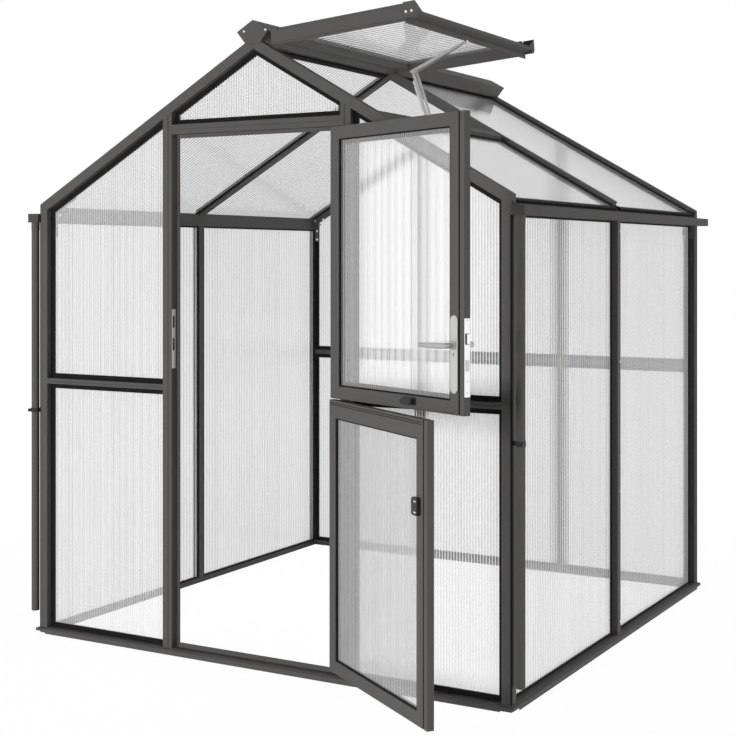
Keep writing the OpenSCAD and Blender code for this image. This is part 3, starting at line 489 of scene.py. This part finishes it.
# %% [markdown]
# ## Dressing the solids
# The solids come in as loose triangles. Weld joins their corners and Bevel then rounds the edges by
# half a millimetre or so. A real extrusion has that round too, and it catches a thread of light
# along every edge. Modifiers leave the mesh below them alone, so the solid itself isn't changed.
# A sheet would throw a full shadow, because a lamp's light counts as blocked by it. So only the
# side panes throw one, and the lamps shine through all the others.


# %% Give each solid its finish
SHARP = math.radians(35)


def dress(names, material, edge=0.0006):
    """Puts the finish on the solids, and rounds the sharp edges by edge."""
    for name in names:
        solid = nodes[name]
        solid.data.materials.clear()
        solid.data.materials.append(material)
        if edge:
            weld = solid.modifiers.new("weld", "WELD")
            weld.merge_threshold = 0.00002
            bevel = solid.modifiers.new("edge", "BEVEL")
            bevel.width = edge
            bevel.segments = 2
            bevel.limit_method = "ANGLE"
            bevel.angle_limit = SHARP
            bevel.use_clamp_overlap = True
            bevel.harden_normals = False


slots = {
    part["node"]: part["material_slot"] for part in frame["record"]["subparts"]
}
deeper = ("gutters", "downpipes", "back_posts")
dress([n for n, slot in slots.items() if slot == "anthracite" and n not in deeper], anthracite)
# The back posts get the darker coat as painted shade.
dress(["back_posts"], shaded_coat)
dress(["gutters", "downpipes"], gutter_grey)
dress(["gable_seals", "side_seals", "roof_seals"], glazing_rubber, edge=0.0004)
dress(["pipe_clips", "leaf_latch", "lower_catch"], black_plastic)
dress(["vent_opener"], zinc)
dress(["strike_plate"], plate_steel, edge=0.0004)
dress(["upper_lock", "door_handle"], satin_steel, edge=0.0004)
for names, sheet in (
    (["front_panes", "back_panes"], gable_sheet),
    (["side_panes"], side_sheet),
    (["roof_panes"], roof_sheet),
    (["vent_pane"], vent_sheet),
    (["upper_pane"], upper_sheet),
    (["lower_pane"], lower_sheet),
):
    dress(names, sheet, edge=0)
    for name in names:
        nodes[name].visible_shadow = name == "side_panes"
print(len(slots), "solids dressed")

# %% [markdown]
# ## Shapes worked out with numpy
# A solid model leaves out the parts that are no bigger than a finger. Nearly all of them can be
# seen as a flat outline that travels along a line and changes a little on the way: a bolt is a
# circle that grows and shrinks, a lock plate is a long oval that pulls in at its rim, and a door
# lever is an ellipse that turns a corner. So one function, carried, makes them all. It works out
# every point at once, and the faces between neighbouring outlines follow from counting.


# %% Outlines and how they travel
def rounded(width, height, radius, steps=6):
    """Rectangle with round corners.

    Each corner is a quarter circle about a point set in by the radius. A corner is the first one
    turned by whole quarter turns, whose cosine and sine are c and s.
    """
    turn = np.linspace(0, np.pi / 2, steps)
    quarter = radius * np.stack([np.cos(turn), np.sin(turn)], axis=1)
    corners = [(1, 1, 1, 0), (-1, 1, 0, 1), (-1, -1, -1, 0), (1, -1, 0, -1)]
    parts = []
    for right, up, c, s in corners:
        spun = np.stack(
            [c * quarter[:, 0] - s * quarter[:, 1], s * quarter[:, 0] + c * quarter[:, 1]], axis=1
        )
        parts.append(spun + [right * (width / 2 - radius), up * (height / 2 - radius)])
    return np.concatenate(parts)


def ellipse(half_x, half_y, count=20):
    """Ellipse: x is half_x times the cosine of the turn and y is half_y times its sine."""
    turn = np.arange(count) * 2 * np.pi / count
    return np.stack([half_x * np.cos(turn), half_y * np.sin(turn)], axis=1)


def carried(outlines, origins, right, up):
    """Outlines set at origins: a point is origin + x of the outline times right + y times up."""
    origins = np.atleast_2d(np.asarray(origins, float))
    outlines = np.asarray(outlines, float)
    count = len(origins)
    if outlines.ndim == 2:
        outlines = np.broadcast_to(outlines, (count, *outlines.shape))
    right = np.broadcast_to(np.asarray(right, float), (count, 3))
    up = np.broadcast_to(np.asarray(up, float), (count, 3))
    points = (
        origins[:, None]
        + outlines[..., :1] * right[:, None]
        + outlines[..., 1:] * up[:, None]
    )
    around = outlines.shape[1]
    low = np.arange(around)
    step = around * np.arange(count - 1)[:, None]
    beside = np.roll(low, -1)
    sides = np.stack(
        [low + step, beside + step, beside + step + around, low + step + around], axis=-1
    )
    ends = [list(low[::-1]), list(low + around * (count - 1))]
    return facing_out(points.reshape(-1, 3), sides.reshape(-1, 4).tolist() + ends)


def facing_out(points, faces):
    """Turns the faces round where the volume they enclose is negative.

    That volume is a sixth of the sum of a . (b x c) over the triangles with corners a, b and c.
    """
    fan = np.concatenate([
        np.stack([np.full(len(f) - 2, f[0]), f[1:-1], f[2:]], axis=1) for f in faces
    ])
    a, b, c = points[fan].transpose(1, 0, 2) - points.mean(axis=0)
    if np.einsum("ij,ij->", a, np.cross(b, c)) < 0:
        faces = [face[::-1] for face in faces]
    return points, faces


def turned(profile, foot, axis, count=14):
    """A lathe: each pair in the profile is the radius of a circle and its height along the axis."""
    axis = np.asarray(axis, float) / np.linalg.norm(axis)
    side = np.cross(axis, (0, 0, 1) if abs(axis[2]) < 0.9 else (1, 0, 0))
    side /= np.linalg.norm(side)
    radius, height = np.asarray(profile, float).T
    rings = radius[:, None, None] * ellipse(1, 1, count)
    return carried(rings, np.asarray(foot) + height[:, None] * axis, side, np.cross(axis, side))


def slab(outline, foot, right, up, thick, rim=0.0005):
    """A plate: the outline at both faces, pulled in by rim over the last rim of its thickness."""
    outline = np.asarray(outline, float)
    travel = np.cross(right, up)
    half = (outline.max(axis=0) - outline.min(axis=0)) / 2
    middle = (outline.max(axis=0) + outline.min(axis=0)) / 2
    small = middle + (outline - middle) * (half - rim) / half
    heights = np.array([0, rim, thick - rim, thick])[:, None]
    return carried(
        [small, outline, outline, small], np.asarray(foot, float) + heights * travel, right, up
    )


def frame_ring(x, z, y, width):
    """A ring between the two depths in y: a rectangle, less one smaller by width all round."""
    turn = np.array([(-1, -1), (1, -1), (1, 1), (-1, 1)])
    middle = np.array([sum(x), sum(z)]) / 2
    half = np.array([x[1] - x[0], z[1] - z[0]]) / 2
    outer, inner = middle + turn * half, middle + turn * (half - width)
    section = [(outer, y[0]), (outer, y[1]), (inner, y[1]), (inner, y[0])]
    points = np.stack([
        np.stack([flat[:, 0], np.full(4, level), flat[:, 1]], axis=1) for flat, level in section
    ])
    grid = np.arange(16).reshape(4, 4)
    across, along = np.roll(grid, -1, axis=0), np.roll(grid, -1, axis=1)
    both = np.roll(across, -1, axis=1)
    faces = np.stack([grid, across, both, along], axis=-1).reshape(-1, 4)
    return facing_out(points.reshape(-1, 3), faces.tolist())


def merged(shapes):
    """Many shapes as one: the points are stacked, and the faces count on from there."""
    shift, points, faces = 0, [], []
    for p, f in shapes:
        points.append(p)
        faces += [[int(k) + shift for k in face] for face in f]
        shift += len(p)
    return np.concatenate(points), faces


def mirrored(shape, axis=0, about=0.0):
    """The mirror image: one coordinate is taken the other way from a plane, and faces turned."""
    points, faces = shape
    points = points.copy()
    points[:, axis] = 2 * about - points[:, axis]
    return points, [face[::-1] for face in faces]


print("carried, turned, slab and frame_ring ready")

# %% [markdown]
# ## From a shape to a piece
# A piece says which body it rides on and which solid it stands in for.
# The parts of a leaf are easiest to place with the leaf shut, where its sides are square to the
# axes. So they are made there, and opened swings them about the hinge to where the leaf stands.


# %% Pieces, and leaves that swing
def piece(name, shapes, material, body, replaces=()):
    """One mesh from the shapes, smooth where faces meet at a blunt angle."""
    points, faces = merged(shapes)
    mesh = bpy.data.meshes.new(name)
    mesh.from_pydata(points.tolist(), [], faces)
    mesh.polygons.foreach_set("use_smooth", np.ones(len(faces), bool))
    mesh.set_sharp_from_angle(angle=SHARP)
    mesh.materials.append(material)
    thing = bpy.data.objects.new(name, mesh)
    scene.collection.objects.link(thing)
    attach(thing, body)
    if replaces:
        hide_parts(*replaces)
    size = (points.max(axis=0) - points.min(axis=0)) * 1000
    print(name, "-", len(faces), "faces,", " x ".join(str(round(s)) for s in size), "mm")
    return thing


def swing(points, joint, angle):
    """Turns points about a joint's upright axis: x and y go round by the angle and z stays."""
    centre = np.array(joints[joint]["pos_m"][:2])
    c, s = math.cos(angle), math.sin(angle)
    moved = np.array(points, float)
    moved[:, :2] = (moved[:, :2] - centre) @ np.array([[c, s], [-s, c]]) + centre
    return moved


def opened(shape, door):
    """A shape made in the shut place, swung to where the leaf stands."""
    return swing(shape[0], door, open_turn[door]), shape[1]


def shut_box(name, door):
    """The lowest and highest corner of a node of a leaf, as if the leaf was shut."""
    mesh = nodes[name].data
    points = np.empty(len(mesh.vertices) * 3)
    mesh.vertices.foreach_get("co", points)
    flat = swing(points.reshape(-1, 3), door, -open_turn[door])
    return flat.min(axis=0), flat.max(axis=0)


def upper_piece(name, shapes, material, body="upper_leaf", replaces=()):
    """A piece of the upper leaf from shapes made in the shut place."""
    return piece(name, [opened(s, "upper_door") for s in shapes], material, body, replaces)


def lower_piece(name, shapes, material, replaces=()):
    """A piece of the lower leaf from shapes made in the shut place."""
    return piece(
        name, [opened(s, "lower_door") for s in shapes], material, "lower_leaf", replaces
    )


X, Y, Z = np.eye(3)
upper_low, upper_high = shut_box("upper_stiles", "upper_door")
lower_low, lower_high = shut_box("lower_stiles", "lower_door")
print("upper leaf when shut:", upper_low.round(4), upper_high.round(4))

# %% [markdown]
# ## The lock of the upper leaf
# A narrow lock has a long plate with round ends on each face of the stile, a thin faceplate let
# into the edge, and two bolts that come out through that faceplate: a slanted latch bolt that the
# lever draws back, and a square dead bolt that the key moves. The plates are slabs with a softened
# rim. The latch bolt is a block whose far face is cut at a slant, so that it slides over the strike
# plate when the door is pushed shut. Heights are counted from the spindle that the levers turn on.

# %% Plates, faceplate and bolts
PLATE_TALL, PLATE_THICK = 0.234, 0.0052

spindle_x = swing([joints["lever"]["pos_m"]], "upper_door", -open_turn["upper_door"])[0][0]
spindle_z = joints["lever"]["pos_m"][2]
faces_of_leaf = ((upper_high[1], 1), (upper_low[1], -1))
key_round, key_slot = rounded(0.0052, 0.0052, 0.0025, 5), rounded(0.0026, 0.0070, 0.0012, 4)
plates, screws, painted_shade_holes = [], [], []
for face_y, side in faces_of_leaf:
    plates.append(slab(
        rounded(0.034, PLATE_TALL, 0.0165, 10),
        (spindle_x, face_y + side * 0.0001, spindle_z - 0.027),
        -side * X, Z, PLATE_THICK, rim=0.0016,
    ))
    screws += [
        turned(
            [(0.0034, 0), (0.0034, 0.0006), (0.0026, 0.0011)],
            (spindle_x, face_y + side * PLATE_THICK, spindle_z + rise), side * Y,
        )
        for rise in (0.078, -0.132)
    ]
    # The key hole and key slot are thin black slabs: painted shade of the holes.
    painted_shade_holes += [
        slab(
            outline, (spindle_x, face_y + side * 0.0050, spindle_z - drop),
            -side * X, Z, 0.0005, rim=0.0001,
        )
        for outline, drop in ((key_round, 0.025), (key_slot, 0.030))
    ]
edge_x = upper_low[0]
leaf_mid = (upper_low[1] + upper_high[1]) / 2
faceplate = slab(
    rounded(0.0221, PLATE_TALL, 0.0005, 2), (edge_x + 0.002, leaf_mid, spindle_z - 0.0350),
    -Y, Z, 0.0021, rim=0.0002,
)
latch_outline = [
    (-0.0080, 0), (0.0016, 0), (0.0016, 0.0012), (-0.0045, 0.0042), (-0.0080, 0.0042),
]
latch_bolt = carried(
    latch_outline, [(edge_x, leaf_mid, spindle_z + rise) for rise in (0.0060, 0.0350)], Y, -X
)
# A black slab a little larger than the latch bolt: painted shade round the bolt.
painted_shade_holes.append(slab(
    rounded(0.0175, 0.0330, 0.0005, 2),
    (edge_x + 0.0001, leaf_mid - 0.0002, spindle_z + 0.0205), -Y, Z, 0.0004, rim=0.0001,
))
dead_bolt = slab(
    rounded(0.0150, 0.033, 0.0006, 2), (edge_x + 0.0001, leaf_mid, spindle_z - 0.0585),
    -Y, Z, 0.0009, rim=0.0002,
)
screws += [
    turned(
        [(0.0030, 0), (0.0030, 0.0004), (0.0022, 0.0007)],
        (edge_x - 0.00005, leaf_mid, spindle_z + rise), -X,
    )
    for rise in (0.076, -0.106, -0.140)
]
upper_piece("lock_plates", plates, satin_steel, replaces=["upper_lock"])
upper_piece("lock_faceplate", [faceplate, latch_bolt], bolt_steel)
upper_piece("lock_screws", screws, zinc)
upper_piece("dead_bolt", [dead_bolt], satin_steel)
upper_piece("lock_openings", painted_shade_holes, black_plastic)

# %% [markdown]
# ## The lever
# A lever handle is drawn as one line: out of the plate, round a bend, and along towards the hinges.
# Its section starts as the round neck, then becomes an upright ellipse that is tallest at the end
# of the bend and slims towards the tip. We set the ellipses square to that line, which is what the
# bend needs, and close the tip with three shrinking ones. The second lever is the mirror image.

# %% A lever on each side
NECK, BEND, LONG, NECK_R = 0.031, 0.015, 0.104, 0.0085


def lever(foot_y, side):
    """Ellipses along a straight neck, a quarter circle and a gently bowed arm.

    On the bend the line is at BEND * (1 - cos) along and BEND * sin out. The arm bows by half a
    sine, and its tip droops with the square of the way along.
    """
    turn = np.linspace(0, np.pi / 2, 9)[1:]
    along = np.linspace(0, 1, 15)[1:]
    arm = BEND + along * (LONG - BEND)
    bow = 0.0035 * np.sin(np.pi * along)
    heading = [np.full(3, np.pi / 2), np.pi / 2 - turn]
    heading += [np.arctan2(np.gradient(bow), np.gradient(arm)), np.zeros(3)]
    heading = np.concatenate(heading)
    x = np.concatenate([np.zeros(3), BEND * (1 - np.cos(turn)), arm])
    y = np.concatenate([[0, 0.004, NECK], NECK + BEND * np.sin(turn), NECK + BEND + bow])
    tall = [np.full(3, NECK_R), NECK_R + 0.0003 * turn, 0.0090 - 0.0024 * along ** 1.6]
    thick = [np.full(3, NECK_R), NECK_R - 0.0012 * turn, 0.0066 - 0.0016 * along]
    tall, thick = np.concatenate(tall), np.concatenate(thick)
    x = np.concatenate([x, LONG + np.array([0.0018, 0.0030, 0.0034])])
    y = np.concatenate([y, np.full(3, y[-1])])
    tall = np.concatenate([tall, tall[-1] * np.array([0.90, 0.66, 0.3])])
    thick = np.concatenate([thick, thick[-1] * np.array([0.88, 0.62, 0.3])])
    rings = np.stack([thick, tall], axis=1)[:, None] * ellipse(1, 1)
    right = np.stack([np.sin(heading), -np.cos(heading) * side, 0 * heading], axis=1)
    droop = 0.0012 * (x / LONG) ** 2
    spots = np.stack([spindle_x + x, foot_y + side * y, spindle_z - droop], axis=1)
    return carried(rings, spots, right, Z)


rose = [
    (0.0128, 0), (0.0128, 0.0030), (0.0118, 0.0042), (0.0102, 0.0046), (0.0100, 0.0075),
    (0.0090, 0.0082),
]
lever_shapes = []
for face_y, side in faces_of_leaf:
    foot_y = face_y + side * 0.0055
    lever_shapes.append(lever(foot_y, side))
    lever_shapes.append(turned(rose, (spindle_x, foot_y, spindle_z), side * Y, count=24))
past_face = 0.007
lever_shapes.append(turned(
    [(0.004, 0), (0.004, upper_high[1] - upper_low[1] + 2 * past_face)],
    (spindle_x, upper_low[1] - past_face, spindle_z), Y,
))
upper_piece("levers", lever_shapes, lever_steel, body="handle", replaces=["door_handle"])

# %% [markdown]
# ## Latch and catch
# The upper leaf has a small black turn knob at the bottom that ties it to the lower leaf: an oval
# knob on a rounded plate. The lower leaf has a moulded catch with two sprung steel rollers. Both
# start from slabs. The catch bulges on one side, so its outline is a rounded block whose far side
# is moved by half a cosine, out in the middle and in at the ends.

# %% Turn knob
BASE_THICK = 0.0050

low, high = shut_box("leaf_latch", "upper_door")
knob_x, knob_z = (low[0] + high[0]) / 2, (low[2] + high[2]) / 2
face_y = upper_high[1]
knob_shapes = [
    slab(rounded(0.066, 0.0240, 0.0060), (knob_x, face_y + 0.0001, knob_z),
         -X, Z, BASE_THICK, rim=0.0014),
    slab(rounded(0.056, 0.0225, 0.0112, 10), (knob_x, face_y + BASE_THICK, knob_z),
         -X, Z, 0.0150, rim=0.0030),
]
upper_piece("turn_knob", knob_shapes, black_plastic, replaces=["leaf_latch"])

# %% Roller catch
BULGE = 0.0028

low, high = shut_box("lower_catch", "lower_door")
catch_x, catch_z = (low[0] + high[0]) / 2, (low[2] + high[2]) / 2 - 0.003
outline = rounded(high[0] - low[0], high[2] - low[2], 0.006)
reach = outline[:, 0] / outline[:, 0].max()
bulge = BULGE * np.cos(np.pi * outline[:, 1] / (high[2] - low[2])) - BULGE / 2
outline[:, 0] -= np.where(reach < -0.55, bulge, 0)
catch_shapes = [slab(outline, (catch_x, low[1] + 0.0001, catch_z), -X, Z, 0.0140, rim=0.0020)]
rollers = []
for rise in (0.016, -0.016):
    catch_shapes.append(slab(
        rounded(0.0130, 0.0125, 0.0030, 4), (low[0] + 0.0095, low[1] + 0.0138, catch_z + rise),
        -X, Z, 0.0010, rim=0.0003,
    ))
    rollers.append(turned(
        [(0.0012, 0), (0.0026, 0.0006), (0.0026, 0.0090), (0.0012, 0.0096)],
        (low[0] + 0.0032, low[1] + 0.0154, catch_z + rise), X,
    ))
lower_piece("roller_catch", catch_shapes, black_plastic, replaces=["lower_catch"])
lower_piece("catch_rollers", rollers, bolt_steel)

# %% [markdown]
# ## Rubber round the leaves
# Each sheet of a leaf sits in a black gasket, which shows as a thin line inside the stiles and
# rails. That line is drawn wide enough to take in the shade on the rebate beside it, so it is
# partly painted shade. A second rubber, the draught seal, runs up the groove of the free stile. The
# gasket is a ring on each face of the sheet, and the seal is a rounded bar that fills the groove.
# On its outer face the upper leaf also has a glazing bead, a flat grey ring just inside the gasket.

# %% Gaskets, draught seals and bead
FREE_STILE, HINGE_STILE, RAIL, LOWER_TOP_RAIL = 0.066, 0.048, 0.042, 0.058
# The gasket width also takes in painted shade on the rebate.
GASKET_AND_SHADE, TUCK = 0.0042, 0.0002


def leaf_rubber(low, high, sheet_low, sheet_high, top=RAIL):
    """A ring on both faces of the sheet and a bar in the groove, all in the shut place."""
    x = (low[0] + FREE_STILE - TUCK, high[0] - HINGE_STILE + TUCK)
    z = (low[2] + RAIL - TUCK, high[2] - top + TUCK)
    bar = carried(
        rounded(0.0062, 0.0042, 0.0016, 4),
        [(low[0] + 0.0235, high[1] - 0.0036, h) for h in (low[2] + 0.0005, high[2] - 0.0005)],
        X, Y,
    )
    return [
        frame_ring(x, z, (sheet_high[1] - 0.0001, high[1] - 0.0016), GASKET_AND_SHADE),
        frame_ring(x, z, (low[1] + 0.0016, sheet_low[1] + 0.0001), GASKET_AND_SHADE),
        bar,
    ]


sheet_low, sheet_high = shut_box("upper_pane", "upper_door")
rubbers = leaf_rubber(upper_low, upper_high, sheet_low, sheet_high)
upper_piece("upper_rubber", rubbers, glazing_rubber)
inside = GASKET_AND_SHADE - TUCK
bead = frame_ring(
    (upper_low[0] + FREE_STILE + inside, upper_high[0] - HINGE_STILE - inside),
    (upper_low[2] + RAIL + inside, upper_high[2] - RAIL - inside),
    (sheet_low[1] - 0.0030, sheet_low[1] + 0.00015), 0.0135,
)
upper_piece("glazing_bead", [bead], anthracite)
sheet_low, sheet_high = shut_box("lower_pane", "lower_door")
rubbers = leaf_rubber(lower_low, lower_high, sheet_low, sheet_high, top=LOWER_TOP_RAIL)
lower_piece("lower_rubber", rubbers, glazing_rubber)

# %% [markdown]
# ## Strike plate
# Behind the two slots of the strike plate the jamb is hollow, so they look black. That black is
# painted shade: two thin black slabs lie in the slots, and countersunk screws hold the plate.

# %% Painted shade in the slots, and screws
low, high = (np.array(corner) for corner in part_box("strike_plate"))
strike_y, strike_z = (low[1:] + high[1:]) / 2
# Thin black slabs in the slots: painted shade of the hollow jamb.
slot_shades = [
    slab(rounded(0.0119, 0.0439, 0.0010, 2), (low[0] + 0.0001, strike_y, spindle_z + rise),
         Y, Z, 0.0008, rim=0.0001)
    for rise in (0.029, -0.052)
]
piece("strike_pockets", slot_shades, black_plastic, "frame")
strike_screws = [
    turned([(0.0036, 0), (0.0036, 0.0003), (0.0028, 0.0006)], (high[0] - 0.00005, strike_y, z), X)
    for z in (low[2] + 0.014, strike_z + 0.006, high[2] - 0.014)
]
piece("strike_screws", strike_screws, zinc, "frame")

# %% [markdown]
# ## Downpipes
# Each gutter ends in an outlet box with a plain round pipe below it. The pipe is a lathe shape with
# a collar where it goes into the outlet and a foot that is turned in a little. A black clip holds
# it to the corner post: a ring with a strap to the post and a stub where its screw is.

# %% Pipes and clips
PIPE_R, COLLAR_R = 0.0150, 0.0158

low, high = (np.array(corner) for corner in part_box("downpipes"))
pipe_x, pipe_y, tall = high[0] - 0.0135, (low[1] + high[1]) / 2 - 0.0015, high[2] - low[2]
pipe = turned(
    [(0.0132, 0), (0.0146, 0), (PIPE_R, 0.0010), (PIPE_R, tall - 0.030),
     (COLLAR_R, tall - 0.029), (COLLAR_R, tall - 0.001), (PIPE_R, tall)],
    (pipe_x, pipe_y, low[2]), Z, count=36,
)
piece("round_pipes", [pipe, mirrored(pipe)], pipe_grey, "frame",
      replaces=["downpipes"])
clip_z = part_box("pipe_clips")[0][2]
strap_z = clip_z + 0.012
post_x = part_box("front_posts")[1][0]
stub_run = cad_box[1][0] - pipe_x - 0.0138
clip_shapes = [
    turned(
        [(0.0152, 0), (0.0168, 0), (0.0174, 0.0006), (0.0174, 0.0154), (0.0168, 0.0160),
         (0.0152, 0.0160)],
        (pipe_x, pipe_y, clip_z + 0.004), Z, count=36,
    ),
    carried(
        rounded(0.0045, 0.014, 0.001, 3),
        [(x, pipe_y + 0.006, strap_z) for x in (post_x, pipe_x - 0.012)], Y, Z,
    ),
    carried(
        rounded(0.0095, 0.012, 0.002, 4),
        [(pipe_x + 0.010 + t, pipe_y - 0.011 - t * 0.9, strap_z) for t in (0, stub_run)], Y, Z,
    ),
]
piece("clip_rings", clip_shapes + [mirrored(s) for s in clip_shapes], black_plastic, "frame",
      replaces=["pipe_clips"])

# %% [markdown]
# ## Opener of the roof vent
# The vent is held up by an opener that works by itself: a cylinder full of wax pushes an elbow, and
# a long folded arm lifts the vent. The arm is sheet steel folded to a U that gets narrower towards
# the vent, so its outline is a U that shrinks on the way. The lower arms are flat bars with round
# ends, and the cylinder is a lathe shape with a turned knob on its end.

# %% Arms, cylinder and clamp
low, high = (np.array(corner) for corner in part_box("vent_opener"))
arm_y = (low[1] + high[1]) / 2
clamp = np.array([0.6055, arm_y, high[2] - 0.007])
elbow = np.array([0.4030, arm_y, 2.1061])
foot = elbow + np.array([0.056, 0, -0.160])


def channel(width, height, wall=0.0018):
    """A U lying on its back: the outline goes round the outside and back along the inside."""
    w, h = width / 2, height
    return np.array([
        (-w, -h), (-w + wall, -h), (-w + wall, -wall), (w - wall, -wall),
        (w - wall, -h), (w, -h), (w, 0), (-w, 0),
    ])


def flat_bar(start, end, width, thick, shift):
    """A bar with round ends between two points, shifted along Y."""
    run = end - start
    length = np.linalg.norm(run)
    way = run / length
    outline = rounded(length + width, width, width / 2 - 0.0001, 7)
    return slab(
        outline, (start + end) / 2 + shift * Y, way, np.cross(Y, way), thick, rim=0.0004
    )


def pin(spot, half, radius):
    """A pin along Y through a point, narrower by a millimetre over its last 0.6 mm."""
    end, long = radius - 0.001, 2 * half
    profile = [(end, 0), (radius, 0.0006), (radius, long - 0.0006), (end, long)]
    return turned(profile, spot - Y * half, Y, count=18)


way = (clamp - elbow) / np.linalg.norm(clamp - elbow)
above = np.cross(way, Y)
above *= np.sign(above[2])
stations = np.array([
    elbow - way * 0.012, elbow + way * 0.004, clamp - way * 0.020, clamp - way * 0.004,
])
folds = [channel(0.024, 0.009), channel(0.026, 0.012), channel(0.012, 0.008), channel(0.010, 0.006)]
lower_way = (foot - elbow) / np.linalg.norm(foot - elbow)
back_way = np.cross(Y, lower_way)
back_way *= -np.sign(back_way[0])
hook = np.array([
    (-0.009, -0.0033), (0.008, -0.0033), (0.008, 0.0066), (0.0055, 0.0066), (0.0055, -0.0011),
    (-0.009, -0.0011),
])
opener_shapes = [
    carried(folds, stations + above * 0.006, Y, above),
    flat_bar(elbow, foot, 0.011, 0.0026, -0.0165),
    flat_bar(elbow, foot, 0.010, 0.0026, 0.0140),
    pin(elbow, 0.0178, 0.0050),
    pin(foot, 0.0178, 0.0050),
    pin(clamp, 0.0098, 0.0042),
    carried(hook, [clamp + way * 0.002 + Y * y for y in (-0.0075, 0.0075)], X, Z),
]
cylinder = turned(
    [(0.0050, -0.018), (0.0064, -0.017), (0.0064, -0.006), (0.0044, -0.005), (0.0044, 0.0),
     (0.0060, 0.001), (0.0068, 0.003), (0.0068, 0.094), (0.0060, 0.097), (0.0030, 0.098),
     (0.0030, 0.112)],
    foot + back_way * 0.010 - lower_way * 0.118 - Y * 0.005, lower_way, count=24,
)
piece("opener_arms", opener_shapes, zinc, "frame", replaces=["vent_opener"])
piece("opener_cylinder", [cylinder], bolt_steel, "frame")
foot_plate = slab(rounded(0.030, 0.040, 0.003, 4), foot - Z * 0.0065, X, Y, 0.0030, rim=0.0006)
piece("opener_foot", [foot_plate], black_plastic, "frame")

# %% [markdown]
# ## Bolts and screws
# Bright bolts hold the corner plates, the ridge plates and the brackets of the vent, and smaller
# screws hold the middle posts. One profile does for them all: a washer and a domed head on top.
# A bolt is only a few dozen faces, and each one is placed by the plate that it holds. It is sunk
# into that plate by a hair, so that no gap shows below it.

# %% Bolt heads
HEAD = np.array([(1.25, 0), (1.25, 0.22), (0.95, 0.26), (0.95, 0.72), (0.62, 1.0)])
SUNK = 0.00005
GUSSET_THICK = 0.003


def bolts(spots, way, radius, tall):
    """A washer and a domed head for every spot, pointing along way."""
    return [turned(HEAD * [radius, tall], spot - SUNK * way, way, count=12) for spot in spots]


corner_spots = (
    (0.949, 1.614), (0.900, 1.621), (0.916, 1.594), (0.953, 1.580), (0.935, 1.564), (0.935, 1.522),
)
low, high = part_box("gussets")
corner_bolts = []
for side in (-1, 1):
    for y, way in ((low[1] + GUSSET_THICK, Y), (high[1] - GUSSET_THICK, -Y)):
        corner_bolts += bolts([(side * x, y, z) for x, z in corner_spots], way, 0.0050, 0.0040)
piece("corner_bolts", corner_bolts, bolt_steel, "frame")

low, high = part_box("ridge_end_plates")
ridge_bolts = []
for y, way, spread in ((low[1], -Y, (-0.036, 0.054)), (high[1], Y, (-0.054, 0.036))):
    ridge_bolts += bolts([(x, y, 2.223) for x in spread], way, 0.0030, 0.0012)
piece("ridge_bolts", ridge_bolts, bolt_steel, "frame")

low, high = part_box("mid_posts")
post_screws = []
for side in (-1, 1):
    spots = [(side * high[0], high[1] - 0.004, z) for z in (1.532, 1.043, 0.556, 0.068)]
    post_screws += bolts(spots, side * X, 0.0040, 0.0030)
piece("post_screws", post_screws, bolt_steel, "frame")

# %% Bolts of the vent
VENT_HINGE, VENT_TILT = np.array([0.0722, 2.2232]), math.radians(4.8)


def on_vent(along, rise):
    """A point of the tilted vent: its own two coordinates turned by the tilt about the hinge."""
    c, s = math.cos(VENT_TILT), math.sin(VENT_TILT)
    return VENT_HINGE + (along * c - rise * s, along * s + rise * c)


low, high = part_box("vent_sash")
vent_bolts = []
for along in (0.534, 0.555):
    x, z = on_vent(along, -0.030)
    vent_bolts += bolts([(x, low[1], z)], -Y, 0.0034, 0.0022)
    vent_bolts += bolts([(x, high[1], z)], Y, 0.0034, 0.0022)
piece("vent_bolts", vent_bolts, bolt_steel, "frame")

# %% [markdown]
# ## Painted shade in the meeting rail
# Two thin black lines run along the top rail of the lower leaf, where the upper leaf closes onto
# it.
# They are painted shade of two grooves.

# %% Groove shade of the meeting rail
groove_line_x = (lower_low[0] + lower_high[0]) / 2 + 0.014
# Two black lines: painted shade of two grooves in the rail.
groove_shade_lines = [
    slab(
        rounded(lower_high[0] - lower_low[0] - 0.034, 0.0024, 0.0004, 2),
        (groove_line_x, lower_high[1] + 0.00002, lower_high[2] - drop), -X, Z, 0.0004, rim=0.0001,
    )
    for drop in (0.0085, 0.0150)
]
lower_piece("meeting_lips", groove_shade_lines, glazing_rubber)

# %% [markdown]
# ## Painted shade on the corner posts
# The shade of the deep groove at the outer corner of each post is painted on as a thin black strip
# that laps round both faces. It is an L in plan, less than half a millimetre thick, carried up the
# post. Its outline starts at the corner of the post and reaches along both faces from there.

# %% Corner shade strips
STRIP_TOP = 1.598
OUT, UNDER, ALONG_X, ALONG_Y = 0.0003, 0.0001, 0.0044, 0.0034

low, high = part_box("front_posts")
half_w, front_y, back_y = high[0], low[1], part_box("back_posts")[1][1]
ell = [
    (-ALONG_X, -OUT), (OUT, -OUT), (OUT, ALONG_Y), (-UNDER, ALONG_Y), (-UNDER, UNDER),
    (-ALONG_X, UNDER),
]
# The strip is painted shade of the groove at the corner of the post.
strip = carried(ell, [(half_w, front_y, h) for h in (low[2], STRIP_TOP)], X, Y)
corner_shade_strips = [strip, mirrored(strip)]
corner_shade_strips += [mirrored(s, axis=1, about=(front_y + back_y) / 2) for s in corner_shade_strips]
piece("corner_strips", corner_shade_strips, glazing_rubber, "frame")

# %% [markdown]
# ## Finish
# The last cell prints the size of the dressed building. The size of the plain solids was printed
# when they were loaded.

# %% Sizes
lowest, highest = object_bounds()
print("dressed box", list(lowest), list(highest))
